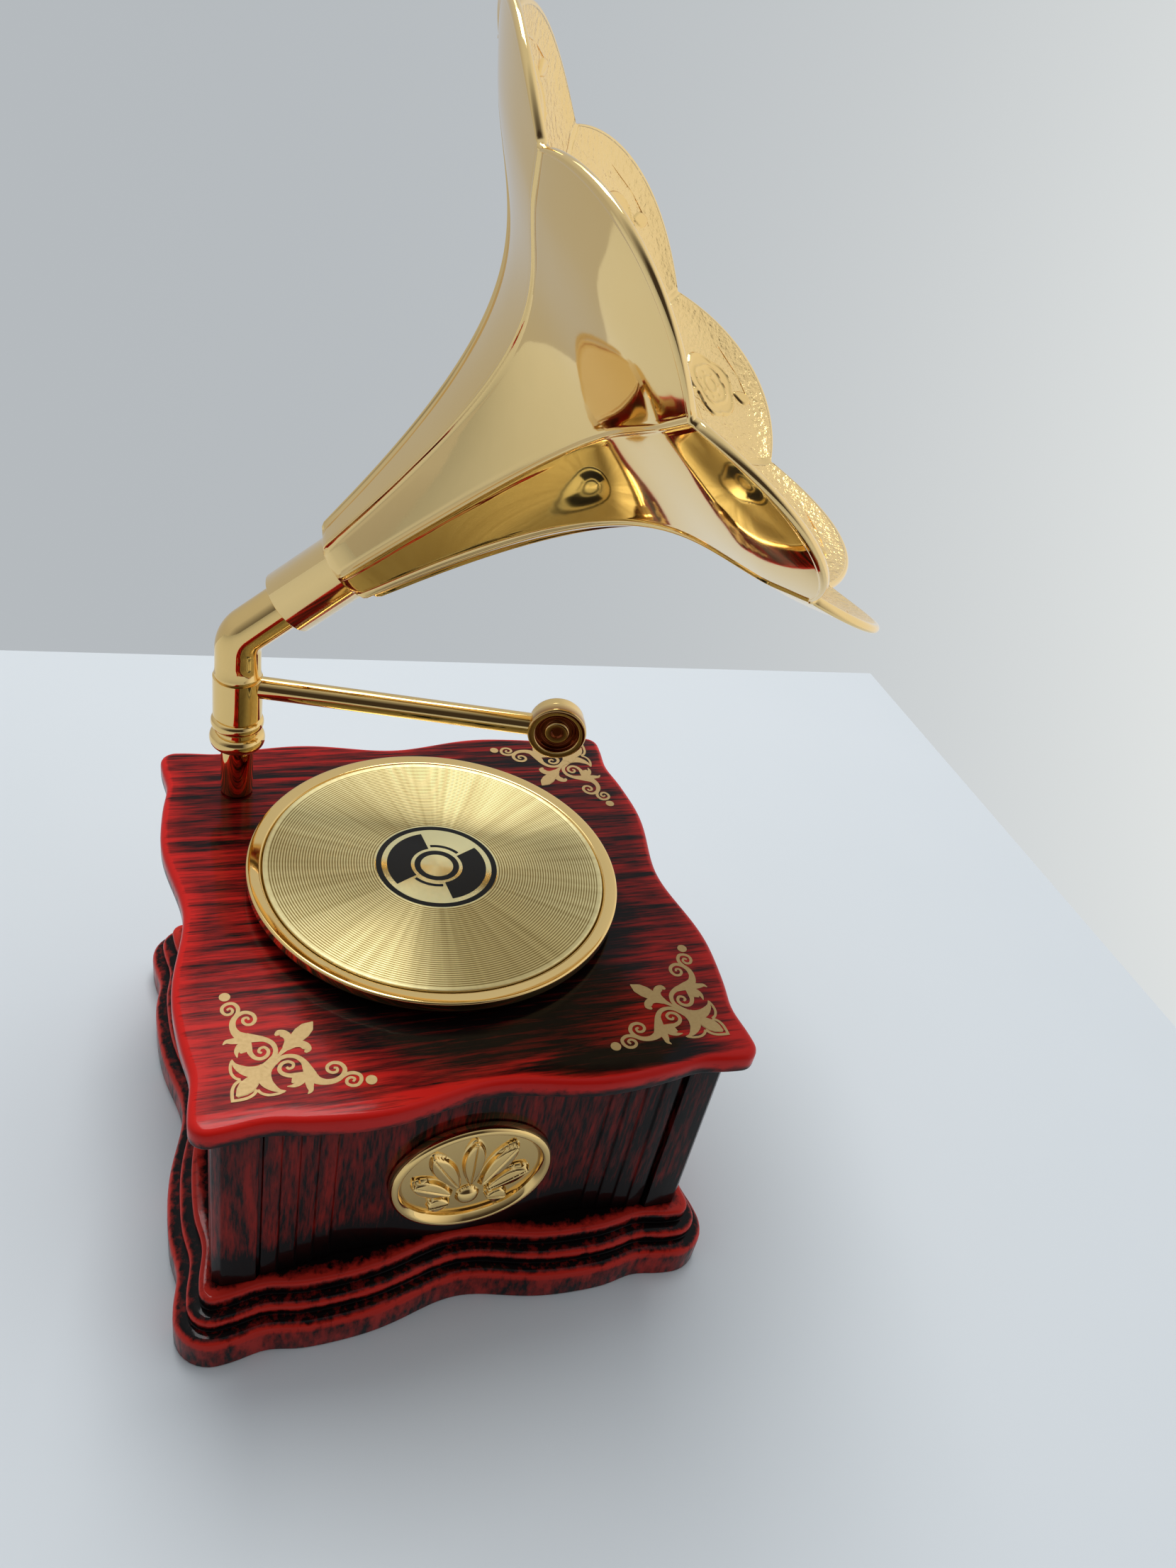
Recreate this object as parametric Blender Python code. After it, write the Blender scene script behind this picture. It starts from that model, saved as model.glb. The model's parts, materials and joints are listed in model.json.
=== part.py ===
"""Music box in the shape of a small gramophone.

A tiered plinth, a fluted case and a wavy lid hold the movement. A turntable on the spring's arbor turns on
the lid, and a post at the back carries an elbow with a tone arm and a horn of eight petals.
Lengths are metres, written through MM. The origin is the middle of the base, on the surface that it stands
on, +Z is up, and the medallion is on the front, at -Y.
"""
import math
from collections import namedtuple

import bmesh
import bpy
from mathutils import Matrix, Vector

MM = 0.001

# Clearances
SEAT_GAP = 0.3 * MM
RUN_GAP = 0.3 * MM
SCREW_GAP = 0.4 * MM
FIT_GAP = 0.4 * MM

# How finely round forms are divided
SIDE_STEPS = 12
CORNER_STEPS = 3
ROUND_STEPS = 28
SMALL_STEPS = 10
SCREW_STEPS = 8
PIPE_STEPS = 16
TURNED_STEPS = 20
RIM_STEPS = 40

# Wavy outlines: a square whose sides dip at the middle (waist) and beside each corner (nick)
Wave = namedtuple("Wave", "half corner waist waist_run swell swell_run swell_at nick nick_run nick_at")

PLINTH_MARGIN = 9.9 * MM
PLINTH_CORNER = 7.5 * MM
PLINTH_WAIST = 4.3 * MM
PLINTH_WAIST_RUN = 13.0 * MM
PLINTH_NICK = 1.2 * MM
PLINTH_NICK_IN = 16.5 * MM
LID_MARGIN = 6.4 * MM
LID_CORNER = 3.3 * MM
LID_WAIST = 2.0 * MM
LID_WAIST_RUN = 11.0 * MM
LID_SWELL = 1.1 * MM
LID_SWELL_RUN = 10.0 * MM
LID_SWELL_AT = 21.0 * MM
LID_NICK = 0.9 * MM
LID_NICK_IN = 12.0 * MM
NICK_RUN = 5.0 * MM

# Plinth: three tiers, each with its rounded bead, and a neck cut under the upper two
FOOT_HEIGHT = 8.0 * MM
FOOT_ROUND = 1.8 * MM
BEAD_RISE = 3.4 * MM
BEAD_INSET = 2.5 * MM
BEAD_ROUND = 1.4 * MM
STEP_RISE = 3.8 * MM
STEP_INSET = 4.8 * MM
STEP_ROUND = 0.7 * MM
NECK_CUT = 0.4 * MM
NECK_HEIGHT = 0.9 * MM
DECK = 2.3 * MM
COVER = 2.6 * MM
COVER_MARGIN = 2.6 * MM
COVER_CORNER = 6.0 * MM

# Case wall: a plain panel, stepped flutes, a groove and a corner pilaster on each half of a side
WALL_HEIGHT = 46.5 * MM
FLUTED_RUN = 19.1 * MM
WALL = 2.2 * MM
FLUTES = 4
FLUTE_RUN = 3.3 * MM
FLUTE_RISE = 0.45 * MM
FLUTE_SLOPE = 0.35 * MM
GROOVE = 0.8 * MM
GROOVE_DEPTH = 0.9 * MM
PILASTER_RISE = 0.9 * MM
CHAMFER = 1.5 * MM

# Screw towers inside the front and back walls
TOWER_X = 24.0 * MM
TOWER = 7.0 * MM
MOVEMENT_ROOM = 3.2 * MM
LID_BOSS = 6.0 * MM

# Lid
LID = 4.2 * MM
LID_ROUND = 1.4 * MM
LID_FOOT_ROUND = 0.5 * MM
RIB = 1.6 * MM
RIB_DEPTH = 1.8 * MM

# Medallion, an oval plaque on the front panel with a raised rim and a palmette
MEDALLION_WIDTH = 31.6 * MM
MEDALLION_HEIGHT = 29.6 * MM
MEDALLION = 2.1 * MM
MEDALLION_RIM = 2.4 * MM
MEDALLION_FIELD = 1.0 * MM
MEDALLION_RISE = 19.9 * MM
RELIEF = 0.9 * MM
LEAVES = ((90, 13.6), (60, 13.2), (120, 13.2), (29, 9.8), (151, 9.8))
LOW_LEAVES = ((-9, 4.6), (189, 4.6))
LEAF_WIDTH = 3.9 * MM
LEAF_START = 3.4 * MM
LEAF_STEPS = 5
LEAF_BOW = 0.8
LEAF_EDGE_SHARE = 0.6
RIDGE_LONG_SHARE = 0.6
RIDGE_WIDE_SHARE = 0.5
FAN_CENTRE = -6.6 * MM
BALL = 2.3 * MM
PEG = 1.0 * MM
PEG_PITCH = 18.0 * MM

# Turntable
AXIS_Y = 2.8 * MM
PLATTER_RADIUS = 37.2 * MM
PLATTER_LIFT = 2.2 * MM
PLATTER = 2.4 * MM
PLATTER_LIP = 2.9 * MM
PLATTER_FLOOR = 1.4 * MM
RECORD = 0.6 * MM
EDGE_BEAD = 0.15 * MM
HUB_FLANGE = 9.0 * MM
HUB_FLANGE_HEIGHT = 1.2 * MM
HUB_RADIUS = 4.5 * MM
HUB_LENGTH = 7.8 * MM
ARBOR_RADIUS = 2.0 * MM

# Movement: bedplate, spring housing, and the crown gear that drives the cylinder
MOVEMENT_BOSS = 2.0 * MM
BOSS_RADIUS = 3.0 * MM
BEDPLATE = 1.6 * MM
BEDPLATE_EDGE = 1.2 * MM
BEDPLATE_SCREW_IN = 4.0 * MM
CROWN_DROP = 3.0 * MM
CROWN_WEB = 1.5 * MM
CROWN_TOOTH = 1.5 * MM
CROWN_TEETH = 30
CROWN_RADIUS = 14.0 * MM
CROWN_FACE = 2.7 * MM
HOUSING_ROOM = 0.8 * MM
HOUSING_HEIGHT = 12.0 * MM
HOUSING_WALL = 0.9 * MM
LEG_ROOM = 1.2 * MM
LEG_RADIUS = 1.8 * MM
LEG_ARM = 2.0 * MM
SPRING_STRIP = 0.4 * MM
SPRING_TURNS = 4
SPRING_ROOM = 0.5 * MM
SPRING_POINTS = 12

# Cylinder and comb
PINION_TEETH = 10
PINION_TIP = 4.7 * MM
PINION_FACE = 2.7 * MM
TOOTH_DEPTH = 1.0 * MM
TOOTH_ROOT_SHARE = 0.30
TOOTH_TIP_SHARE = 0.14
CYLINDER_RADIUS = 6.5 * MM
CYLINDER_LENGTH = 18.2 * MM
PIN_HEIGHT = 0.9 * MM
PIN_WIDTH = 0.5 * MM
NOTES = 18
PINS_PER_NOTE = 2
BEATS = 24
NOTE_SHIFT = 5
PIN_SHIFT = 11
AXLE_RADIUS = 1.0 * MM
BRACKET = 1.0 * MM
BRACKET_WIDTH = 6.0 * MM
BRACKET_FOOT = 5.0 * MM
WHEEL_TEETH = 24
WHEEL_TIP = 10.0 * MM
WHEEL_FACE = 1.2 * MM
COMB = 0.8 * MM
COMB_TEETH_LENGTH = 12.0 * MM
COMB_HEEL = 8.5 * MM
COMB_SLOT = 0.3 * MM
COMB_SHORTEST_SLOT = 6.0 * MM
COMB_SCREW_PITCH = 10.0 * MM

# Governor: a wheel that turns a worm with an air brake
GOVERNOR_PINION_TEETH = 8
GOVERNOR_PINION_TIP = 2.6 * MM
WORM_WHEEL_TEETH = 20
WORM_WHEEL_TIP = 4.8 * MM
WORM_WHEEL_FACE = 1.5 * MM
WORM_WHEEL_X = 28.0 * MM
WORM_RADIUS = 1.6 * MM
WORM_LENGTH = 9.0 * MM
WORM_SHAFT = 0.7 * MM
FAN_REACH = 4.5 * MM
FAN_HEIGHT = 3.2 * MM
FAN = 0.5 * MM
GOVERNOR_PLATE = 1.2 * MM
GOVERNOR_ARM = 4.0 * MM
GOVERNOR_HANGER_X = 22.4 * MM

# Post, elbow, tone arm and sound box
POST_IN_X = 8.6 * MM
POST_IN_Y = 8.3 * MM
POST_RADIUS = 3.3 * MM
ARM_AZIMUTH = math.radians(-16.4)
COLLAR_LIFT = 12.5 * MM
COLLAR_RADIUS = 5.6 * MM
COLLAR_HEIGHT = 3.4 * MM
BEAD_RADIUS = 5.3 * MM
BEAD_HEIGHT = 2.6 * MM
BAND_RADIUS = 4.9 * MM
BAND_LIFT = 20.0 * MM
BAND_TOP = 29.0 * MM
PIPE_RADIUS = 4.5 * MM
BEND_LIFT = 38.2 * MM
BEND_RADIUS = 6.5 * MM
BEND_STEPS = 5
ARM_LIFT = 26.9 * MM
ARM_RADIUS = 2.3 * MM
ARM_REACH = 65.0 * MM
ARM_SOCKET = 3.0 * MM
ARM_FLOOR = 1.0 * MM
SPIGOT_END = 24.0 * MM
SPIGOT_BORE = 3.2 * MM
SPIGOT_BORE_DEPTH = 10.0 * MM
SOUND_BOX_RADIUS = 6.1 * MM
SOUND_BOX_BACK_RADIUS = 5.8 * MM
SOUND_BOX = 5.3 * MM
SOUND_BOX_RING = 1.5 * MM
SOUND_BOX_RECESS = 1.2 * MM
SOUND_BOX_BOSS = 2.5 * MM
SOUND_BOX_BOSS_RISE = 0.7 * MM

# Horn, measured along its own axis from the elbow's corner
HORN_RISE = math.radians(43.7)
PETALS = 8
SEAM_ANGLE = math.radians(37.8)
HORN_WALL = 1.2 * MM
SLEEVE_START = 13.0 * MM
SLEEVE_END = 27.0 * MM
SLEEVE_WALL = 1.6 * MM
NECK_END = 28.2 * MM
NECK_RADIUS = 8.6 * MM
THROAT_RADIUS = 3.4 * MM
MOUTH_END = 106.1 * MM
MOUTH_RADIUS = 60.1 * MM
NECK_PULL = 74.0 * MM
NECK_ANGLE = math.radians(9.6)
MOUTH_PULL = 34.5 * MM
MOUTH_ANGLE = math.radians(45.2)
NOTCH_SHARE = 0.91
SEAM_RIB = 0.6 * MM
RIB_EDGE_SHARE = 0.84
PETAL_STEPS = (-1.0, -RIB_EDGE_SHARE, -0.5, -0.2, 0.2, 0.5, RIB_EDGE_SHARE)
BELL_STATIONS = (0.0, 0.2, 0.38, 0.52, 0.64, 0.75, 0.84, 0.92, 1.0)

# Screws
SCREW_SHANK = 1.3 * MM
SCREW_HEAD = 2.8 * MM
SCREW_HEAD_HEIGHT = 1.4 * MM
SCREW_SOCKET = 1.1 * MM
SCREW_SOCKET_DEPTH = 0.6 * MM
COVER_SCREW_IN = 9.2 * MM
COVER_SCREW_LENGTH = 7.0 * MM
TIE_SCREW_HOLD = 6.0 * MM
POST_SCREW_HOLD = 9.0 * MM
BEDPLATE_SCREW_HOLD = 2.6 * MM
COMB_SCREW_HOLD = 5.0 * MM
SCREW_BOSS = 4.0 * MM

# Numbers that only the building of shapes needs
OVERLAP = 1.0 * MM
BEYOND = 5.0 * MM
WELD = 0.001 * MM
CORNER_SHARE = 0.3

# Heights of the stack
CASE_FOOT = FOOT_HEIGHT + BEAD_RISE + STEP_RISE
WALL_FOOT = CASE_FOOT + SEAT_GAP
WALL_TOP = WALL_FOOT + WALL_HEIGHT
LID_FOOT = WALL_TOP + SEAT_GAP
LID_TOP = LID_FOOT + LID
DECK_FOOT = CASE_FOOT - DECK
COVER_TOP = COVER + SEAT_GAP
BEDPLATE_TOP = LID_FOOT - MOVEMENT_BOSS - SEAT_GAP
BEDPLATE_FOOT = BEDPLATE_TOP - BEDPLATE
CROWN_TOP = BEDPLATE_FOOT - CROWN_DROP
CROWN_FOOT = CROWN_TOP - CROWN_WEB - CROWN_TOOTH
HOUSING_TOP = CROWN_TOP - CROWN_WEB - 2 * RUN_GAP
HOUSING_FOOT = HOUSING_TOP - HOUSING_HEIGHT
CYLINDER_Z = CROWN_FOOT - RUN_GAP - PINION_TIP
PLATTER_FOOT = LID_TOP + PLATTER_LIFT
HUB_TOP = PLATTER_FOOT - SEAT_GAP
MEDALLION_CENTRE_Z = WALL_FOOT + MEDALLION_RISE

# Places across the movement, and then across the case that is built round it
HOUSING_RADIUS = CROWN_RADIUS - CROWN_FACE - HOUSING_ROOM
SPRING_START = ARBOR_RADIUS + SEAT_GAP
SPRING_END = HOUSING_RADIUS - HOUSING_WALL - SPRING_ROOM - SPRING_STRIP
LEG_RING = CROWN_RADIUS + LEG_ROOM + LEG_RADIUS
PINION_X = CROWN_RADIUS - PINION_FACE / 2
BRACKET_X = CROWN_RADIUS + FIT_GAP
CYLINDER_X = BRACKET_X + BRACKET + 1.5 * FIT_GAP
WHEEL_X = CYLINDER_X + CYLINDER_LENGTH + FIT_GAP
PLATE_X = WHEEL_X + WHEEL_FACE + FIT_GAP
COMB_TIP_Y = AXIS_Y + CYLINDER_RADIUS + PIN_HEIGHT + RUN_GAP
GOVERNOR_Y = AXIS_Y - WHEEL_TIP - RUN_GAP - GOVERNOR_PINION_TIP
WORM_Y = GOVERNOR_Y - WORM_WHEEL_TIP - RUN_GAP - WORM_RADIUS
COMB_HEEL_Y = COMB_TIP_Y + COMB_TEETH_LENGTH + COMB_HEEL
BEDPLATE_LOW_X = -LEG_RING - LEG_RADIUS - BEDPLATE_EDGE
BEDPLATE_HIGH_X = PLATE_X + GOVERNOR_PLATE + BEDPLATE_EDGE
BEDPLATE_LOW_Y = WORM_Y - GOVERNOR_ARM / 2 - BEDPLATE_EDGE
BEDPLATE_HIGH_Y = COMB_HEEL_Y + BEDPLATE_EDGE
BEDPLATE_SCREWS = ((BEDPLATE_LOW_X + BEDPLATE_SCREW_IN, BEDPLATE_LOW_Y + BEDPLATE_SCREW_IN),
                   (CROWN_RADIUS, BEDPLATE_LOW_Y + BEDPLATE_SCREW_IN),
                   (-BOSS_RADIUS, BEDPLATE_HIGH_Y - BEDPLATE_SCREW_IN))
WALL_INSIDE = BEDPLATE_HIGH_Y + MOVEMENT_ROOM + TOWER
TOWER_Y = WALL_INSIDE - TOWER / 2
CAVITY_HALF = WALL_INSIDE + SCREW_GAP + OVERLAP
DECK_HALF = WALL_INSIDE - TOWER - OVERLAP
PANEL_HALF = WALL_INSIDE + WALL
PANEL_RUN = PANEL_HALF - FLUTED_RUN
PLINTH_HALF = PANEL_HALF + PLINTH_MARGIN
LID_HALF = PANEL_HALF + LID_MARGIN
COVER_HALF = PANEL_HALF + COVER_MARGIN
COVER_SCREW_PLACE = COVER_HALF - COVER_SCREW_IN
POST_X = POST_IN_X - PANEL_HALF
POST_Y = PANEL_HALF - POST_IN_Y
TOWERS = [(x, y) for x in (-TOWER_X, TOWER_X) for y in (-TOWER_Y, TOWER_Y)]
COVER_SCREWS = [(x, y) for x in (-COVER_SCREW_PLACE, COVER_SCREW_PLACE)
                for y in (-COVER_SCREW_PLACE, COVER_SCREW_PLACE)]

PLINTH_WAVE = Wave(PLINTH_HALF, PLINTH_CORNER, PLINTH_WAIST, PLINTH_WAIST_RUN, 0.0, LID_SWELL_RUN,
                   LID_SWELL_AT, PLINTH_NICK, NICK_RUN, PLINTH_HALF - PLINTH_NICK_IN)
LID_WAVE = Wave(LID_HALF, LID_CORNER, LID_WAIST, LID_WAIST_RUN, LID_SWELL, LID_SWELL_RUN, LID_SWELL_AT,
                LID_NICK, NICK_RUN, LID_HALF - LID_NICK_IN)

FRONT_FACING = (math.radians(90), 0.0, 0.0)


def material(name, colour, roughness, metallic=0.0):
    """A Principled finish."""
    made = bpy.data.materials.new(name)
    made.use_nodes = True
    shader = made.node_tree.nodes["Principled BSDF"]
    shader.inputs["Base Color"].default_value = (*colour, 1.0)
    shader.inputs["Roughness"].default_value = roughness
    shader.inputs["Metallic"].default_value = metallic
    return made


def start_empty():
    """Take away whatever the file holds, then make the finishes."""
    for thing in list(bpy.data.objects):
        bpy.data.objects.remove(thing)
    return {
        "lacquer": material("red lacquer", (0.36, 0.012, 0.012), 0.18),
        "gold": material("gold plating", (0.86, 0.62, 0.20), 0.12, 1.0),
        "record": material("gold foil", (0.80, 0.60, 0.24), 0.28, 1.0),
        "steel": material("steel", (0.55, 0.56, 0.58), 0.30, 1.0),
        "brass": material("brass", (0.72, 0.52, 0.22), 0.28, 1.0),
        "zinc": material("cast zinc", (0.48, 0.48, 0.50), 0.45, 1.0),
        "black": material("black plastic", (0.02, 0.02, 0.02), 0.40),
        "white": material("white plastic", (0.80, 0.80, 0.76), 0.35),
    }


def bump(place, centre, run):
    """A smooth hump, 1 at its centre."""
    return math.exp(-((place - centre) / run) ** 2)


def wave_outline(wave, inset):
    """One turn round a wavy square, drawn in by inset, with a round corner after each side."""
    radius = max(wave.corner - inset, wave.corner * CORNER_SHARE)
    reach = wave.half - inset - radius
    quarter = []
    for step in range(SIDE_STEPS + 1):
        along = reach * (2 * step / SIDE_STEPS - 1)
        out = wave.half - inset - wave.waist * bump(along, 0, wave.waist_run)
        out += wave.swell * bump(abs(along), wave.swell_at, wave.swell_run)
        out -= wave.nick * bump(abs(along), wave.nick_at, wave.nick_run)
        quarter.append((along, -out))
    for step in range(1, CORNER_STEPS):
        turn = math.radians(90) * step / CORNER_STEPS
        quarter.append((reach + radius * math.sin(turn), -reach - radius * math.cos(turn)))
    return four_sides(quarter)


def four_sides(quarter):
    """Repeat the points of the front side on the other three."""
    points = []
    for side in range(4):
        turn = Matrix.Rotation(math.radians(90) * side, 2)
        points += [turn @ Vector(point) for point in quarter]
    return points


def rounded_square(half, corner):
    """A square with round corners."""
    quarter = []
    for step in range(CORNER_STEPS + 1):
        turn = math.radians(90) * step / CORNER_STEPS
        quarter.append((half - corner + corner * math.sin(turn), corner - half - corner * math.cos(turn)))
    return four_sides(quarter)


def wall_outline():
    """The case wall from above. A side has a panel, then flutes, a groove and a pilaster at either end."""
    half = [(PANEL_RUN, PANEL_HALF)]
    out = PANEL_HALF
    for flute in range(FLUTES):
        start = PANEL_RUN + flute * FLUTE_RUN
        if flute:
            half.append((start, out))
        out += FLUTE_RISE
        half.append((start + FLUTE_SLOPE, out))
    edge = PANEL_RUN + FLUTES * FLUTE_RUN
    pilaster = out + PILASTER_RISE
    floor = out - GROOVE_DEPTH
    half += [(edge, out), (edge, floor), (edge + GROOVE, floor), (edge + GROOVE, pilaster),
             (pilaster - CHAMFER, pilaster)]
    left = [(-along, -reach) for along, reach in reversed(half)]
    right = [(along, -reach) for along, reach in half]
    return four_sides(left + right)


def ring_at(outline, height):
    return [Vector((point[0], point[1], height)) for point in outline]


def circle(radius, height, steps, centre=(0.0, 0.0)):
    turns = [math.tau * step / steps for step in range(steps)]
    return [Vector((centre[0] + radius * math.cos(turn), centre[1] + radius * math.sin(turn), height))
            for turn in turns]


def loft(rings, closed=False):
    """Bridge each ring of points to the next. The ends are capped, or joined to each other when closed."""
    bm = bmesh.new()
    loops = [[bm.verts.new(point) for point in ring] for ring in rings]
    pairs = list(zip(loops, loops[1:]))
    if closed:
        pairs.append((loops[-1], loops[0]))
    else:
        bm.faces.new(loops[0])
        bm.faces.new(loops[-1])
    for low, high in pairs:
        for place, corner in enumerate(low):
            after = (place + 1) % len(low)
            bm.faces.new((corner, low[after], high[after], high[place]))
    bmesh.ops.recalc_face_normals(bm, faces=bm.faces)
    return bm


def prism(outline, low, high):
    """Stand an outline up between two heights."""
    bm = bmesh.new()
    face = bm.faces.new([bm.verts.new(point) for point in ring_at(outline, low)])
    raised = bmesh.ops.extrude_face_region(bm, geom=[face])["geom"]
    lifted = [part for part in raised if isinstance(part, bmesh.types.BMVert)]
    bmesh.ops.translate(bm, vec=(0, 0, high - low), verts=lifted)
    bmesh.ops.recalc_face_normals(bm, faces=bm.faces)
    return bm


def turned(profile, steps):
    """Spin (radius, height) points about Z. They end on the axis, or close on themselves beside it."""
    bm = bmesh.new()
    points = [bm.verts.new((radius, 0, height)) for radius, height in profile]
    ends = points[1:] + points[:1] if profile[0][0] > 0 else points[1:]
    edges = [bm.edges.new(pair) for pair in zip(points, ends)]
    bmesh.ops.spin(bm, geom=points + edges, cent=(0, 0, 0), axis=(0, 0, 1), angle=math.tau, steps=steps,
                   use_merge=True)
    bmesh.ops.remove_doubles(bm, verts=bm.verts, dist=WELD)
    bmesh.ops.recalc_face_normals(bm, faces=bm.faces)
    return bm


def rod(radius, low, high, steps=SMALL_STEPS, centre=(0.0, 0.0)):
    """A plain cylinder that stands at centre."""
    return loft([circle(radius, height, steps, centre) for height in (low, high)])


def block(low, high):
    """A box between two corners."""
    corners = [(low[0], low[1]), (high[0], low[1]), (high[0], high[1]), (low[0], high[1])]
    return prism(corners, low[2], high[2])


def gather(shapes):
    """One mesh of several shapes that stay clear of each other."""
    whole = bmesh.new()
    for shape in shapes:
        mesh = bpy.data.meshes.new("shape")
        shape.to_mesh(mesh)
        whole.from_mesh(mesh)
        bpy.data.meshes.remove(mesh)
        shape.free()
    return whole


def add(name, bm, finish, parent=None, at=(0.0, 0.0, 0.0), turn=(0.0, 0.0, 0.0)):
    """Make the named object, smooth where its faces nearly meet in a plane."""
    mesh = bpy.data.meshes.new(name)
    bm.to_mesh(mesh)
    bm.free()
    mesh.shade_smooth()
    mesh.set_sharp_from_angle(angle=math.radians(35))
    thing = bpy.data.objects.new(name, mesh)
    bpy.context.scene.collection.objects.link(thing)
    thing.parent = parent
    thing.location = at
    thing.rotation_euler = turn
    if finish:
        mesh.materials.append(finish)
    return thing


def combine(target, operation, shapes):
    """Join shapes to the target or cut them from it. They are given in the target's own coordinates."""
    name = f"{target.name}.{operation.lower()}.{len(target.modifiers)}"
    tool = add(name, gather(shapes), None, target.parent, target.location, target.rotation_euler)
    tool.hide_render = True
    tool.display_type = "WIRE"
    change = target.modifiers.new(operation.lower(), "BOOLEAN")
    change.operation = operation
    change.object = tool


def join(target, *shapes):
    combine(target, "UNION", shapes)


def cut(target, *shapes):
    combine(target, "DIFFERENCE", shapes)


def axis_empty(name, at, turn=(0.0, 0.0, 0.0), parent=None):
    """An empty on a joint's axis, whose Z is the axis."""
    empty = bpy.data.objects.new(name, None)
    bpy.context.scene.collection.objects.link(empty)
    empty.location = at
    empty.rotation_euler = turn
    empty.parent = parent
    return empty


def screw(name, finish, at, length):
    """A screw driven upward from below, with a socket in its head. It is placed by the seat of its head."""
    floor = SCREW_SOCKET_DEPTH - SCREW_HEAD_HEIGHT
    profile = [(0, floor), (SCREW_SOCKET, floor), (SCREW_SOCKET, -SCREW_HEAD_HEIGHT),
               (SCREW_HEAD, -SCREW_HEAD_HEIGHT), (SCREW_HEAD, 0), (SCREW_SHANK, 0), (SCREW_SHANK, length),
               (0, length + SCREW_SHANK / 2)]
    return add(name, turned(profile, SCREW_STEPS), finish, at=at)


def plinth_profile():
    """(inset, height) up the plinth's three tiers."""
    points = [(0.0, 0.0)]
    tiers = ((0.0, FOOT_HEIGHT, FOOT_ROUND), (BEAD_INSET, FOOT_HEIGHT + BEAD_RISE, BEAD_ROUND),
             (STEP_INSET, CASE_FOOT, STEP_ROUND))
    below = None
    for inset, top, radius in tiers:
        if below is not None:
            points += [(inset + NECK_CUT, below), (inset, below + NECK_HEIGHT)]
        for step in range(3):
            turn = math.radians(45) * step
            points.append((inset + radius * (1 - math.cos(turn)), top - radius * (1 - math.sin(turn))))
        below = top
    return points


def build_plinth(finishes):
    """Tiered skirt with a deck for the case wall, and a rabbet and bosses for the bottom cover."""
    rings = [ring_at(wave_outline(PLINTH_WAVE, inset), height) for inset, height in plinth_profile()]
    plinth = add("plinth", loft(rings), finishes["lacquer"])
    cut(plinth, prism(rounded_square(CAVITY_HALF, COVER_CORNER), -BEYOND, DECK_FOOT))
    cut(plinth, prism(rounded_square(COVER_HALF + SEAT_GAP, COVER_CORNER), -BEYOND, COVER_TOP))
    cut(plinth, prism(rounded_square(DECK_HALF, COVER_CORNER), DECK_FOOT - OVERLAP, CASE_FOOT + BEYOND))
    pilot = SCREW_SHANK + SEAT_GAP
    pilot_top = COVER_SCREW_LENGTH + COVER_TOP
    join(plinth, *[rod(SCREW_BOSS, COVER_TOP, DECK_FOOT + OVERLAP, SCREW_STEPS, place)
                   for place in COVER_SCREWS])
    pilots = [rod(pilot, COVER_TOP - OVERLAP, pilot_top, SCREW_STEPS, place) for place in COVER_SCREWS]
    holes = [rod(SCREW_SHANK + SCREW_GAP, DECK_FOOT - OVERLAP, CASE_FOOT + OVERLAP, SCREW_STEPS, place)
             for place in TOWERS]
    cut(plinth, *pilots, *holes)


def build_bottom_cover(finishes):
    """Plate flush with the plinth's foot, with counterbored holes."""
    cover = add("bottom_cover", prism(rounded_square(COVER_HALF, COVER_CORNER - SEAT_GAP), 0, COVER),
                finishes["black"])
    seat = SEAT_GAP + SCREW_HEAD_HEIGHT + SEAT_GAP / 2
    head = SCREW_HEAD + SCREW_GAP
    shank = SCREW_SHANK + SCREW_GAP
    hole = [(0, -OVERLAP), (head, -OVERLAP), (head, seat), (shank, seat), (shank, COVER + OVERLAP),
            (0, COVER + OVERLAP)]
    holes = []
    for place in COVER_SCREWS:
        shape = turned(hole, SCREW_STEPS)
        bmesh.ops.translate(shape, vec=(*place, 0), verts=shape.verts)
        holes.append(shape)
    cut(cover, *holes)
    for number, place in enumerate(COVER_SCREWS, 1):
        screw(f"cover_screw_{number}", finishes["steel"], (*place, seat - SEAT_GAP / 2), COVER_SCREW_LENGTH)


def build_walls(finishes):
    """Fluted four-sided wall with a screw tower inside at each end of the front and the back."""
    walls = add("case_walls", prism(wall_outline(), WALL_FOOT, WALL_TOP), finishes["lacquer"])
    inside = rounded_square(WALL_INSIDE, WALL)
    cut(walls, prism(inside, WALL_FOOT - BEYOND, WALL_TOP + BEYOND))
    tower_top = LID_FOOT - LID_BOSS - SEAT_GAP
    towers = []
    for x, y in TOWERS:
        inner, outer = sorted((y - math.copysign(TOWER / 2, y), y + math.copysign(TOWER / 2 + OVERLAP, y)))
        towers.append(block((x - TOWER / 2, inner, WALL_FOOT), (x + TOWER / 2, outer, tower_top)))
    join(walls, *towers)
    holes = [rod(SCREW_SHANK + SCREW_GAP, WALL_FOOT - OVERLAP, tower_top + OVERLAP, SCREW_STEPS, place)
             for place in TOWERS]
    cut(walls, *holes, *medallion_pegs(PEG + SEAT_GAP, WALL + OVERLAP))


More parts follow.
